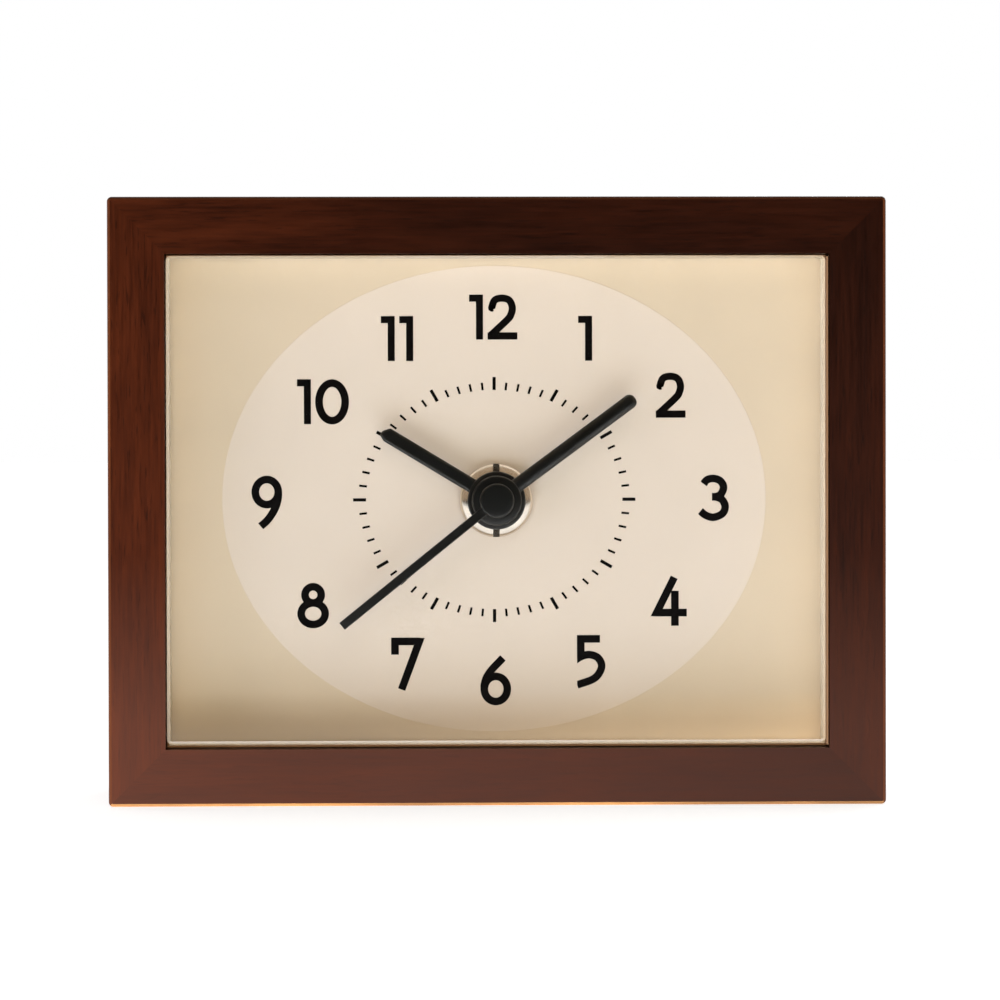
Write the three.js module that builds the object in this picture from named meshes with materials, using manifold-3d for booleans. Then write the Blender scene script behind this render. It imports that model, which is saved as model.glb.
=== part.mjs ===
// Wooden desk clock with a quartz movement.
// Millimetres, +Z up, the dial faces -Y, origin on the table under the middle of the frame.

import * as THREE from 'three';
import { mergeVertices } from 'three/addons/utils/BufferGeometryUtils.js';
import Module from 'manifold-3d';

const wasm = await Module();
wasm.setup();

// Fits used all over the clock
const seatGap = 0.1;
const runningGap = 0.1;
const overrun = 1;

// Frame of four mitred rails
const frameWidth = 130;
const frameHeight = 101.7;
const frameDepth = 45;
const railFace = 9.5;
const ledgeReach = 2.5;
const rearRimWall = 4.5;
const outerArris = 0.5;
const innerArris = 0.3;
const frameCornerRadius = 0.8;
const mitreGap = 0.1;

// Glass pane, let into the front of the frame
const glassRecess = 0.6;
const glassThickness = 3;
const glassEdgeGap = 0.35;
const glassBevel = 0.6;
const glassCornerRadius = 0.8;

// Spacer strips between the glass and the dial
const surroundDepth = 8.5;
const surroundWall = 1.2;
const surroundEdgeGap = 0.15;

// Dial
const dialThickness = 1;
const dialEdgeGap = 0.15;

// Hands, as lengths from the axis and clockwise angles from twelve
const hourAngle = 301.1;
const minuteAngle = 53.5;
const secondAngle = 231.1;
const hourLength = 22.6;
const minuteLength = 29;
const secondLength = 33.5;
const handWidth = 2.45;
const secondRootWidth = 1.45;
const secondTipWidth = 1.5;
const hourTipWidth = 0.9;
const hourTipLength = 1;
const armThickness = 0.8;
const armBevel = 0.25;
const hourHubRadius = 4.9;
const minuteHubRadius = 4.2;
const secondHubRadius = 2.9;
const hubThickness = 1.1;
const hubBevel = 0.2;
const handGap = 0.3;

// Nested pipes that carry the hands
const secondShaftRadius = 0.5;
const minutePipeRadius = 1.6;
const hourPipeRadius = 2.5;
const pipeStep = 0.2;
const pivotRadius = 0.35;

// Nut, washer and gasket that clamp the movement to the dial
const neckRadius = 4;
const nutRadius = 6.2;
const nutThickness = 2.2;
const nutBevel = 1;
const nutSlotWidth = 1.1;
const nutSlotDepth = 1.1;
const washerRadius = 5.9;
const washerThickness = 0.3;
const gasketRadius = 9;
const gasketThickness = 0.8;

// Movement case
const caseSide = 56;
const caseDepth = 16.5;
const caseWall = 1.2;
const caseLedge = 1;
const caseCornerRadius = 3;
const coverThickness = 1.2;

// Battery and its contacts
const batteryDiameter = 14.5;
const batteryLength = 50.5;
const batteryNubRadius = 2.75;
const batteryNubHeight = 1;
const batteryBevel = 0.5;
const batteryGap = 0.2;
const contactThickness = 0.4;
const contactWidth = 8;
const contactLength = 12;
const contactTouchGap = 0.15;

// Going train: modules, tooth counts and wheel thicknesses
const centreModule = 0.2;
const centreTeeth = 64;
const thirdTeeth = 60;
const trainPinionTeeth = 8;
const secondModule = 0.23;
const secondTeeth = 40;
const rotorModule = 0.18;
const fifthTeeth = 48;
const trainWheelThickness = 0.6;
const pinionOverlap = 0.2;
const arborRadius = 0.4;

// Motion work behind the dial
const hourModule = 0.28;
const hourTeeth = 40;
const reversePinionTeeth = 10;
const cannonTeeth = 12;
const reverseTeeth = 36;
const motionWheelThickness = 0.8;
const cannonLength = 1.6;
const reversePostRadius = 0.6;
const wheelGap = 0.3;
const collarWall = 0.6;

// Tooth form, as shares of the module and of the angle of one tooth
const addendumShare = 0.8;
const dedendumShare = 1.15;
const toothTipShare = 0.11;
const toothRootShare = 0.27;

// Plates and posts that carry the train
const plateThickness = 0.5;
const bridgeThickness = 0.8;
const postRadius = 1.5;
const postPinRadius = 0.9;
const postCollarRadius = 1.8;
const postHoleGap = 0.15;
const bearingRadius = 1;
const plateLeft = 16.4;
const plateRight = 11.4;
const plateBottom = 9.2;
const plateTop = 13.8;
const upperPostSpread = 9;
const upperPostHeight = 12;
const lowerPostLeft = 14.6;
const lowerPostRight = 9.5;
const lowerPostDrop = 7.3;

// Stepping motor
const magnetRadius = 2;
const magnetThickness = 1.6;
const magnetGap = 0.4;
const statorThickness = 1;
const statorReach = 13.5;
const statorLegWidth = 3.3;
const statorBelowRotor = 4;
const statorAboveRotor = 3.9;
const coilHeight = 20;
const coilRadius = 4.2;
const coilFlangeRadius = 4.8;
const coilFlangeThickness = 0.8;
const coilLength = 17;
const coreWidth = 2.6;
const coreThickness = 1;
const coreGap = 0.15;

// Circuit board with its parts
const boardLeft = 25.4;
const boardWidth = 7.8;
const boardBottom = 8;
const boardTop = 24;
const boardThickness = 0.8;
const boardFront = 8;
const boardPostInset = 4;
const boardPinRadius = 0.7;
const boardPinReach = 0.6;
const chipRadius = 2;
const chipThickness = 1;
const chipHeight = 3;
const crystalRadius = 1;
const crystalLength = 6.2;
const crystalHeight = 12;

// Setting knob
const knobRadius = 6.5;
const knobHeight = 8;
const knobStandOff = 0.4;
const knobFlutes = 16;
const knobFluteDepth = 0.5;
const stemRadius = 0.9;

// Back panel and its screws
const panelThickness = 2;
const panelEdgeGap = 0.2;
const panelCornerRadius = 1;
const windowEdgeGap = 0.5;
const screwSideInset = 20;
const screwInset = 8.25;
const screwHeadRadius = 2.6;
const screwHeadThickness = 1.4;
const screwHeadBevel = 0.5;
const screwShankRadius = 1.3;
const screwLength = 9;
const screwTipLength = 1.5;
const screwRecessWidth = 0.7;
const screwRecessLength = 3;
const screwRecessDepth = 0.8;

// Sides of the round forms
const hubSides = 24;
const pipeSides = 16;
const pinSides = 10;
const cornerSteps = 3;

// Depths from the front of the frame
const glassBack = glassRecess + glassThickness;
const surroundFront = glassBack + seatGap;
const dialFront = surroundFront + surroundDepth + seatGap;
const dialBack = dialFront + dialThickness;
const ledgeFront = dialBack + seatGap;
const gasketFront = dialBack + seatGap;
const caseFront = gasketFront + gasketThickness + seatGap;
const caseBack = caseFront + caseDepth;
const ledgeBack = caseBack - panelThickness;
const panelFront = ledgeBack + seatGap;
const panelBack = panelFront + panelThickness;

// Inside of the frame
const openingWidth = frameWidth - 2 * railFace;
const openingHeight = frameHeight - 2 * railFace;
const bandReach = railFace + ledgeReach;
const dialHeight = frameHeight / 2;
const screwReach = frameWidth / 2 - screwSideInset;
const screwRise = frameHeight / 2 - screwInset;

// Heights above the dial
const washerTop = seatGap + washerThickness;
const nutBottom = washerTop + seatGap;
const nutTop = nutBottom + nutThickness;
const neckTop = nutTop - pipeStep;
const hourHandBottom = nutTop + handGap + pipeStep;
const minuteHandBottom = hourHandBottom + hubThickness + handGap;
const secondHandBottom = minuteHandBottom + hubThickness + handGap;
const hourPipeTop = hourHandBottom + hubThickness - pipeStep;
const minutePipeTop = minuteHandBottom + hubThickness - pipeStep;
const secondShaftTop = secondHandBottom + hubThickness / 2;

// Bores of the nested pipes
const minutePipeBore = secondShaftRadius + runningGap;
const hourPipeBore = minutePipeRadius + runningGap;
const neckBore = hourPipeRadius + runningGap;
const neckHole = neckRadius + 2 * runningGap;

// Inside of the movement case, from the hand axis
const caseReach = caseSide / 2;
const pocketReach = caseReach - caseWall;
const chamberReach = pocketReach - caseLedge;
const bayBottom = -pocketReach;
const bayTop = bayBottom + batteryDiameter + 2 * batteryGap;
const coverBottom = bayTop + caseWall;
const chamberBottom = coverBottom + caseLedge;
const coverFront = caseDepth - coverThickness;
const ledgeDepth = coverFront - seatGap;

// Arbor places from the hand axis
const thirdModule = centreModule * (trainPinionTeeth + centreTeeth) / (trainPinionTeeth + thirdTeeth);
const cannonModule = hourModule * (reversePinionTeeth + hourTeeth) / (cannonTeeth + reverseTeeth);
const thirdX = -centreModule * (trainPinionTeeth + centreTeeth) / 2;
const fifthZ = secondModule * (trainPinionTeeth + secondTeeth) / 2;
const rotorZ = fifthZ + rotorModule * (trainPinionTeeth + fifthTeeth) / 2;
const reverseX = hourModule * (reversePinionTeeth + hourTeeth) / 2;
const stemX = reverseX + cannonModule * (cannonTeeth + reverseTeeth) / 2;

// Wheel depths from the front of the case
const hourWheelFront = caseWall + wheelGap;
const hourWheelBack = hourWheelFront + motionWheelThickness;
const cannonFront = hourWheelBack + wheelGap;
const cannonBack = cannonFront + cannonLength;
const reverseWheelFront = cannonFront + seatGap;
const reverseWheelBack = reverseWheelFront + motionWheelThickness;
const reversePostBack = cannonBack + seatGap;
const collarFront = cannonBack + seatGap;
const centreWheelFront = collarFront + wheelGap;
const centreWheelBack = centreWheelFront + trainWheelThickness;
const collarBack = centreWheelBack + wheelGap;
const plateFront = collarBack + seatGap;
const plateBack = plateFront + plateThickness;
const secondPinionFront = plateBack + seatGap;
const thirdWheelFront = secondPinionFront + pinionOverlap;
const thirdWheelBack = thirdWheelFront + trainWheelThickness;
const secondPinionBack = thirdWheelBack + pinionOverlap;
const secondWheelFront = secondPinionBack + 2 * wheelGap;
const secondWheelBack = secondWheelFront + trainWheelThickness;
const fifthWheelFront = secondWheelBack + pinionOverlap + wheelGap;
const fifthWheelBack = fifthWheelFront + trainWheelThickness;
const magnetFront = fifthWheelBack + pinionOverlap + wheelGap;
const magnetBack = magnetFront + magnetThickness;
const statorFront = magnetFront + wheelGap;
const statorBack = statorFront + statorThickness;
const bridgeFront = magnetBack + wheelGap;
const bridgeBack = bridgeFront + bridgeThickness;

// Finishes seen on the object
const looks = {
  wood: { color: 0x4c2416, roughness: 0.45, metalness: 0 },
  glass: { color: 0xf4f6f2, roughness: 0.05, metalness: 0, transparent: true, opacity: 0.25 },
  surround: { color: 0xe4d6bd, roughness: 0.7, metalness: 0 },
  dial: { color: 0xe0cfb4, roughness: 0.55, metalness: 0.1 },
  black: { color: 0x191817, roughness: 0.5, metalness: 0 },
  nickel: { color: 0xd9c7ae, roughness: 0.2, metalness: 1 },
  rubber: { color: 0x232323, roughness: 0.9, metalness: 0 },
  caseBlack: { color: 0x202123, roughness: 0.6, metalness: 0 },
  whitePlastic: { color: 0xe9e6dd, roughness: 0.5, metalness: 0 },
  brass: { color: 0xc59a4d, roughness: 0.35, metalness: 1 },
  steel: { color: 0xa9abad, roughness: 0.35, metalness: 1 },
  magnet: { color: 0x3b3a3c, roughness: 0.6, metalness: 0.3 },
  copper: { color: 0xb4602f, roughness: 0.4, metalness: 0.8 },
  board: { color: 0x2f6a3e, roughness: 0.6, metalness: 0 },
  battery: { color: 0x3d5d7c, roughness: 0.4, metalness: 0.2 },
  panel: { color: 0x2a2320, roughness: 0.8, metalness: 0 },
};

// Geometry helpers

function welded(geometry) {
  const bare = geometry.clone();
  bare.deleteAttribute('normal');
  bare.deleteAttribute('uv');
  const shell = mergeVertices(bare);
  const corners = Array.from(shell.index.array);
  const kept = [];
  for (let i = 0; i < corners.length; i += 3) {
    const [a, b, c] = corners.slice(i, i + 3);
    if (a !== b && b !== c && c !== a) kept.push(a, b, c);
  }
  shell.setIndex(kept);
  return shell;
}

function sixVolumes(shell) {
  const corner = [new THREE.Vector3(), new THREE.Vector3(), new THREE.Vector3()];
  let sum = 0;
  for (let i = 0; i < shell.index.count; i += 3) {
    corner.forEach((point, k) => point.fromBufferAttribute(shell.attributes.position, shell.index.getX(i + k)));
    sum += corner[0].dot(corner[1].cross(corner[2]));
  }
  return sum;
}

function solidFrom(geometry) {
  const shell = welded(geometry);
  const corners = Array.from(shell.index.array);
  if (sixVolumes(shell) < 0) corners.reverse();
  return new wasm.Manifold(new wasm.Mesh({
    numProp: 3,
    vertProperties: shell.attributes.position.array,
    triVerts: Uint32Array.from(corners),
  }));
}

function outlineOf(points) {
  return new THREE.Shape(points.map(([x, z]) => new THREE.Vector2(x, z)));
}

// A plate lies across the depth: its outline is drawn as seen from the front
function extruded(outline, front, back, bevel = 0) {
  const geometry = new THREE.ExtrudeGeometry(outline, {
    depth: back - front - 2 * bevel,
    bevelEnabled: bevel > 0,
    bevelThickness: bevel,
    bevelSize: bevel,
    bevelOffset: -bevel,
    bevelSegments: 1,
    curveSegments: cornerSteps,
  });
  geometry.rotateX(Math.PI / 2);
  geometry.translate(0, back - bevel, 0);
  return geometry;
}

function plate(outline, front, back, bevel) {
  return solidFrom(extruded(outline, front, back, bevel));
}

function roundedRectangle(left, right, bottom, top, radius) {
  const outline = new THREE.Shape();
  outline.moveTo(left + radius, bottom);
  outline.lineTo(right - radius, bottom);
  outline.absarc(right - radius, bottom + radius, radius, -Math.PI / 2, 0, false);
  outline.lineTo(right, top - radius);
  outline.absarc(right - radius, top - radius, radius, 0, Math.PI / 2, false);
  outline.lineTo(left + radius, top);
  outline.absarc(left + radius, top - radius, radius, Math.PI / 2, Math.PI, false);
  outline.lineTo(left, bottom + radius);
  outline.absarc(left + radius, bottom + radius, radius, Math.PI, 1.5 * Math.PI, false);
  return outline;
}

function block(left, right, front, back, bottom, top) {
  const geometry = new THREE.BoxGeometry(right - left, back - front, top - bottom);
  geometry.translate((left + right) / 2, (front + back) / 2, (bottom + top) / 2);
  return solidFrom(geometry);
}

// Turned forms: the profile holds radius and depth, and turns round an axis along the depth
function turnedGeometry(profile, sides, x = 0, z = 0) {
  const points = profile.map(([radius, depth]) => new THREE.Vector2(radius, depth));
  return new THREE.LatheGeometry(points, sides).translate(x, 0, z);
}

function turned(profile, sides, x, z) {
  return solidFrom(turnedGeometry(profile, sides, x, z));
}

function disc(radius, front, back, sides, x, z) {
  return turned([[0, front], [radius, front], [radius, back], [0, back]], sides, x, z);
}

function ring(bore, radius, front, back, sides, x, z) {
  return turned([[bore, front], [radius, front], [radius, back], [bore, back], [bore, front]], sides, x, z);
}

function joined(...solids) {
  return solids.reduce((whole, solid) => whole.add(solid));
}

function cut(whole, ...tools) {
  return tools.reduce((rest, tool) => rest.subtract(tool), whole);
}

// Gears: phase is the angle of a tooth's middle, counted from +X towards +Z
function gear(toothModule, teeth, front, back, phase, x = 0, z = 0) {
  const pitchRadius = toothModule * teeth / 2;
  const tip = pitchRadius + addendumShare * toothModule;
  const root = pitchRadius - dedendumShare * toothModule;
  const step = 2 * Math.PI / teeth;
  const corners = [[root, -toothRootShare], [tip, -toothTipShare], [tip, toothTipShare], [root, toothRootShare]];
  const points = [];
  for (let tooth = 0; tooth < teeth; tooth += 1) {
    for (const [radius, share] of corners) {
      const angle = phase + (tooth + share) * step;
      points.push([x + radius * Math.cos(angle), z + radius * Math.sin(angle)]);
    }
  }
  return plate(outlineOf(points), front, back);
}

// The phase that lets a driven gear mesh with its driver, where direction is the
// angle of the line from the driver's axis to the driven gear's axis
function meshedPhase(driverPhase, driverTeeth, drivenTeeth, direction) {
  const offset = (direction - driverPhase) * driverTeeth / (2 * Math.PI);
  return direction + Math.PI - (0.5 - offset) * 2 * Math.PI / drivenTeeth;
}

// Scene graph

const clock = new THREE.Group();
const body = new THREE.Group();
const centre = new THREE.Group();
const dialSide = new THREE.Group();
const movement = new THREE.Group();
body.position.set(0, -frameDepth / 2, 0);
centre.position.set(0, 0, dialHeight);
dialSide.position.set(0, dialFront, 0);
movement.position.set(0, caseFront, 0);
clock.add(body);
body.add(centre);
centre.add(dialSide, movement);

function piece(group, name, solid, look) {
  const { vertProperties, triVerts } = solid.getMesh();
  const geometry = new THREE.BufferGeometry();
  geometry.setAttribute('position', new THREE.BufferAttribute(new Float32Array(vertProperties), 3));
  geometry.setIndex(new THREE.BufferAttribute(new Uint32Array(triVerts), 1));
  geometry.computeVertexNormals();
  const mesh = new THREE.Mesh(geometry, new THREE.MeshStandardMaterial(looks[look]));
  mesh.name = name;
  group.add(mesh);
}

// Frame rails: one section, mitred at both ends

const railSection = [
  [outerArris, 0],
  [railFace - innerArris, 0],
  [railFace, innerArris],
  [railFace, ledgeFront],
  [bandReach, ledgeFront],
  [bandReach, ledgeBack],
  [rearRimWall, ledgeBack],
  [rearRimWall, frameDepth - innerArris],
  [rearRimWall - innerArris, frameDepth],
  [outerArris, frameDepth],
  [0, frameDepth - outerArris],
  [0, outerArris],
];

function rail(length, place) {
  const geometry = new THREE.ExtrudeGeometry(outlineOf(railSection), { depth: 1, bevelEnabled: false });
  const position = geometry.attributes.position;
  for (let i = 0; i < position.count; i += 1) {
    const inward = position.getX(i);
    const depth = position.getY(i);
    const end = 2 * position.getZ(i) - 1;
    const [x, z] = place(end * (length / 2 - inward - mitreGap / Math.SQRT2), inward);
    position.setXYZ(i, x, depth, z);
  }
  return solidFrom(geometry);
}

function cornerCutter(sideX, sideZ) {
  const outline = new THREE.Shape();
  const reach = frameCornerRadius + overrun;
  outline.absarc(0, 0, frameCornerRadius, 0, Math.PI / 2, false);
  outline.lineTo(0, reach);
  outline.lineTo(reach, reach);
  outline.lineTo(reach, 0);
  const geometry = extruded(outline, -overrun, frameDepth + overrun);
  geometry.scale(sideX, 1, sideZ);
  const cornerX = frameWidth / 2 - frameCornerRadius;
  const cornerZ = frameHeight / 2 - frameCornerRadius;
  geometry.translate(sideX * cornerX, 0, dialHeight + sideZ * cornerZ);
  return solidFrom(geometry);
}

function pilotHoles(height) {
  const radius = screwShankRadius + runningGap;
  const front = panelBack + seatGap - screwLength - seatGap;
  return [-1, 1].map((side) => disc(radius, front, ledgeBack + overrun, pinSides, side * screwReach, height));
}

const cornerCutters = [cornerCutter(1, 1), cornerCutter(1, -1), cornerCutter(-1, 1), cornerCutter(-1, -1)];
const rails = [
  ['frame_bottom', frameWidth, (along, inward) => [along, inward], pilotHoles(screwInset)],
  ['frame_top', frameWidth, (along, inward) => [along, frameHeight - inward], pilotHoles(frameHeight - screwInset)],
  ['frame_left', frameHeight, (along, inward) => [inward - frameWidth / 2, dialHeight + along], []],
  ['frame_right', frameHeight, (along, inward) => [frameWidth / 2 - inward, dialHeight + along], []],
];
for (const [name, length, place, holes] of rails) {
  piece(body, name, cut(rail(length, place), ...cornerCutters, ...holes), 'wood');
}

// Glass pane and the spacer strips behind it

const glassReachX = openingWidth / 2 - glassEdgeGap;
const glassReachZ = openingHeight / 2 - glassEdgeGap;
const glassOutline = roundedRectangle(-glassReachX, glassReachX, -glassReachZ, glassReachZ, glassCornerRadius);
piece(centre, 'glass_pane', plate(glassOutline, glassRecess, glassBack, glassBevel), 'glass');

const surroundX = openingWidth / 2 - surroundEdgeGap;
const surroundZ = openingHeight / 2 - surroundEdgeGap;
const innerX = surroundX - surroundWall;
const innerZ = surroundZ - surroundWall;
const sideZ = innerZ - seatGap;
const surroundBack = surroundFront + surroundDepth;
const strips = [
  ['surround_top', -surroundX, surroundX, innerZ, surroundZ],
  ['surround_bottom', -surroundX, surroundX, -surroundZ, -innerZ],
  ['surround_left', -surroundX, -innerX, -sideZ, sideZ],
  ['surround_right', innerX, surroundX, -sideZ, sideZ],
];
for (const [name, left, right, bottom, top] of strips) {
  piece(centre, name, block(left, right, surroundFront, surroundBack, bottom, top), 'surround');
}

// Dial, gasket, washer and nut

const dialX = openingWidth / 2 - dialEdgeGap;
const dialZ = openingHeight / 2 - dialEdgeGap;
const dialBlank = block(-dialX, dialX, dialFront, dialBack, -dialZ, dialZ);
const dialHole = disc(neckHole, dialFront - overrun, dialBack + overrun, hubSides);
piece(centre, 'dial_plate', cut(dialBlank, dialHole), 'dial');

const gasket = ring(neckHole, gasketRadius, gasketFront, gasketFront + gasketThickness, hubSides);
piece(centre, 'dial_gasket', gasket, 'rubber');
piece(dialSide, 'nut_washer', ring(neckHole, washerRadius, -washerTop, -seatGap, hubSides), 'nickel');

const nutBlank = turned([
  [neckRadius + runningGap, -nutBottom],
  [nutRadius, -nutBottom],
  [nutRadius, nutBevel - nutTop],
  [nutRadius - nutBevel, -nutTop],
  [neckRadius + runningGap, -nutTop],
  [neckRadius + runningGap, -nutBottom],
], hubSides);
const nutSlots = block(
  -nutSlotWidth / 2,
  nutSlotWidth / 2,
  -nutTop - overrun,
  nutSlotDepth - nutTop,
  -nutRadius - overrun,
  nutRadius + overrun,
);
piece(dialSide, 'dial_nut', cut(nutBlank, nutSlots), 'nickel');

// Hands: a hub with a bore, and an arm that points to twelve until it is turned

function arm(outline, bottom, angle) {
  const geometry = extruded(outline, -bottom - armThickness, -bottom, armBevel);
  geometry.rotateY(THREE.MathUtils.degToRad(angle));
  return solidFrom(geometry);
}

function hub(bore, radius, bottom) {
  const top = bottom + hubThickness;
  return turned([
    [bore, -bottom],
    [radius, -bottom],
    [radius, hubBevel - top],
    [radius - hubBevel, -top],
    [bore, -top],
    [bore, -bottom],
  ], hubSides);
}

const hourArm = outlineOf([
  [-handWidth / 2, hourPipeRadius + pipeStep],
  [handWidth / 2, hourPipeRadius + pipeStep],
  [handWidth / 2, hourLength - hourTipLength],
  [hourTipWidth / 2, hourLength],
  [-hourTipWidth / 2, hourLength],
  [-handWidth / 2, hourLength - hourTipLength],
]);
const hourBore = hourPipeRadius + seatGap;
const hourHand = joined(hub(hourBore, hourHubRadius, hourHandBottom), arm(hourArm, hourHandBottom, hourAngle));
piece(dialSide, 'hour_hand', hourHand, 'black');

const minuteArm = new THREE.Shape();
minuteArm.moveTo(-handWidth / 2, minutePipeRadius + pipeStep);
minuteArm.lineTo(handWidth / 2, minutePipeRadius + pipeStep);
minuteArm.absarc(0, minuteLength - handWidth / 2, handWidth / 2, 0, Math.PI, false);
const minuteBore = minutePipeRadius + seatGap;
const minuteHub = hub(minuteBore, minuteHubRadius, minuteHandBottom);
piece(dialSide, 'minute_hand', joined(minuteHub, arm(minuteArm, minuteHandBottom, minuteAngle)), 'black');

const secondTop = secondHandBottom + hubThickness;
const secondSocket = secondShaftTop + seatGap;
const secondHub = turned([
  [0, -secondSocket],
  [secondShaftRadius + seatGap, -secondSocket],
  [secondShaftRadius + seatGap, -secondHandBottom],
  [secondHubRadius, -secondHandBottom],
  [secondHubRadius, hubBevel - secondTop],
  [secondHubRadius - hubBevel, -secondTop],
  [0, -secondTop],
], hubSides);
const secondArm = outlineOf([
  [-secondRootWidth / 2, secondHubRadius / 2],
  [secondRootWidth / 2, secondHubRadius / 2],
  [secondTipWidth / 2, secondLength],
  [-secondTipWidth / 2, secondLength],
]);
piece(dialSide, 'second_hand', joined(secondHub, arm(secondArm, secondHandBottom, secondAngle)), 'black');

// Movement case: a tray with a gear chamber, a battery bay, a neck and stepped posts

const posts = [
  [-upperPostSpread, upperPostHeight],
  [upperPostSpread, upperPostHeight],
  [-lowerPostLeft, -lowerPostDrop],
  [lowerPostRight, -lowerPostDrop],
];
const boardMiddle = boardWidth / 2 - boardLeft;
const boardPosts = [
  [boardMiddle, boardPostInset - boardBottom],
  [boardMiddle, boardTop - boardPostInset],
];
const boardBack = boardFront + boardThickness;
const neckFront = caseFront - dialFront + neckTop;

function steppedPost(radius, shoulder, pinRadius, pinBack, x, z) {
  const floor = caseWall / 2;
  return turned([[0, floor], [radius, floor], [radius, shoulder], [pinRadius, shoulder], [pinRadius, pinBack],
    [0, pinBack]], pinSides, x, z);
}

function blindBearing(bore, x) {
  const back = caseWall + 2 * collarWall;
  const wall = bore + collarWall;
  return turned([[0, caseWall / 2], [wall, caseWall / 2], [wall, back], [bore, back], [bore, caseWall],
    [0, caseWall]], pinSides, x, 0);
}

const caseOutline = roundedRectangle(-caseReach, caseReach, -caseReach, caseReach, caseCornerRadius);
const caseTray = cut(
  plate(caseOutline, 0, caseDepth),
  block(-chamberReach, chamberReach, caseWall, caseDepth + overrun, chamberBottom, chamberReach),
  block(-pocketReach, pocketReach, ledgeDepth, caseDepth + overrun, coverBottom, pocketReach),
  block(-pocketReach, pocketReach, caseWall, caseDepth + overrun, bayBottom, bayTop),
);
const caseWithPosts = joined(
  caseTray,
  disc(neckRadius, -neckFront, caseWall / 2, hubSides),
  ...posts.map(([x, z]) => steppedPost(postRadius, plateFront - seatGap, postPinRadius, bridgeBack, x, z)),
  ...boardPosts.map(([x, z]) => steppedPost(postRadius, boardFront - seatGap, boardPinRadius,
    boardBack + boardPinReach, x, z)),
  disc(reversePostRadius, caseWall / 2, reversePostBack, pinSides, reverseX, 0),
  blindBearing(pivotRadius + runningGap, thirdX),
  blindBearing(reversePostRadius + runningGap, stemX),
);
const neckBoreTool = disc(neckBore, -neckFront - overrun, caseWall + overrun, pipeSides);
piece(movement, 'movement_case', cut(caseWithPosts, neckBoreTool), 'caseBlack');

const coverReach = pocketReach - seatGap;
const coverOutline = outlineOf([
  [-coverReach, coverBottom + seatGap],
  [coverReach, coverBottom + seatGap],
  [coverReach, coverReach],
  [-coverReach, coverReach],
]);
const coverHole = disc(stemRadius + runningGap, coverFront - overrun, caseDepth + overrun, pinSides, stemX, 0);
piece(movement, 'movement_cover', cut(plate(coverOutline, coverFront, caseDepth), coverHole), 'caseBlack');

// Train plate and gear bridge, both drilled for the posts and arbors

const plateOutline = outlineOf([
  [-plateLeft, -plateBottom],
  [plateRight, -plateBottom],
  [plateRight, plateTop],
  [-plateLeft, plateTop],
]);
const postHole = postPinRadius + postHoleGap;

function drilled(front, back, collars, holes) {
  const blank = joined(plate(plateOutline, front, back), ...collars);
  const far = bridgeBack + overrun;
  const postHoles = posts.map(([x, z]) => disc(postHole, front - overrun, far, pinSides, x, z));
  const arborHoles = holes.map(([radius, x, z]) => disc(radius, front - overrun, back + overrun, pinSides, x, z));
  return cut(blank, ...postHoles, ...arborHoles);
}

const collarBacks = [statorFront, statorFront, bridgeFront, bridgeFront];
const postCollars = posts.map(([x, z], index) => disc(
  postCollarRadius,
  plateFront + plateThickness / 2,
  collarBacks[index] - seatGap,
  pinSides,
  x,
  z,
));
const pivotHole = pivotRadius + runningGap;
const arborHole = arborRadius + runningGap;
const trainPlate = drilled(plateFront, plateBack, postCollars, [
  [secondShaftRadius + runningGap, 0, 0],
  [arborHole, thirdX, 0],
  [pivotHole, 0, fifthZ],
  [pivotHole, 0, rotorZ],
]);
piece(movement, 'train_plate', trainPlate, 'whitePlastic');
const gearBridge = drilled(bridgeFront, bridgeBack, [], [
  [pivotHole, 0, 0],
  [pivotHole, thirdX, 0],
  [pivotHole, 0, fifthZ],
  [pivotHole, 0, rotorZ],
]);
piece(movement, 'gear_bridge', gearBridge, 'whitePlastic');

// Going train: each driven gear is turned into mesh with its driver

const up = Math.PI / 2;
const left = Math.PI;
const pivotBack = bridgeBack - seatGap;
const pivotFront = plateFront + seatGap;
const rotorPhase = 0;
const fifthPhase = meshedPhase(rotorPhase, trainPinionTeeth, fifthTeeth, -up);
const fifthPinionPhase = 0;
const secondPhase = meshedPhase(fifthPinionPhase, trainPinionTeeth, secondTeeth, -up);
const secondPinionPhase = 0;
const thirdPhase = meshedPhase(secondPinionPhase, trainPinionTeeth, thirdTeeth, left);
const thirdPinionPhase = 0;
const centrePhase = meshedPhase(thirdPinionPhase, trainPinionTeeth, centreTeeth, 0);

const rotorArbor = turned([
  [0, pivotFront],
  [pivotRadius, pivotFront],
  [pivotRadius, magnetFront],
  [magnetRadius, magnetFront],
  [magnetRadius, magnetBack],
  [pivotRadius, magnetBack],
  [pivotRadius, pivotBack],
  [0, pivotBack],
], pipeSides, 0, rotorZ);
const rotorPinion = gear(rotorModule, trainPinionTeeth, fifthWheelFront - pinionOverlap,
  fifthWheelBack + pinionOverlap, rotorPhase, 0, rotorZ);
piece(movement, 'rotor', joined(rotorArbor, rotorPinion), 'magnet');

const fifthWheel = joined(
  disc(pivotRadius, pivotFront, pivotBack, pinSides, 0, fifthZ),
  gear(secondModule, trainPinionTeeth, secondWheelFront - pinionOverlap, fifthWheelFront + pinionOverlap,
    fifthPinionPhase, 0, fifthZ),
  gear(rotorModule, fifthTeeth, fifthWheelFront, fifthWheelBack, fifthPhase, 0, fifthZ),
);
piece(movement, 'fifth_wheel', fifthWheel, 'whitePlastic');

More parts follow.
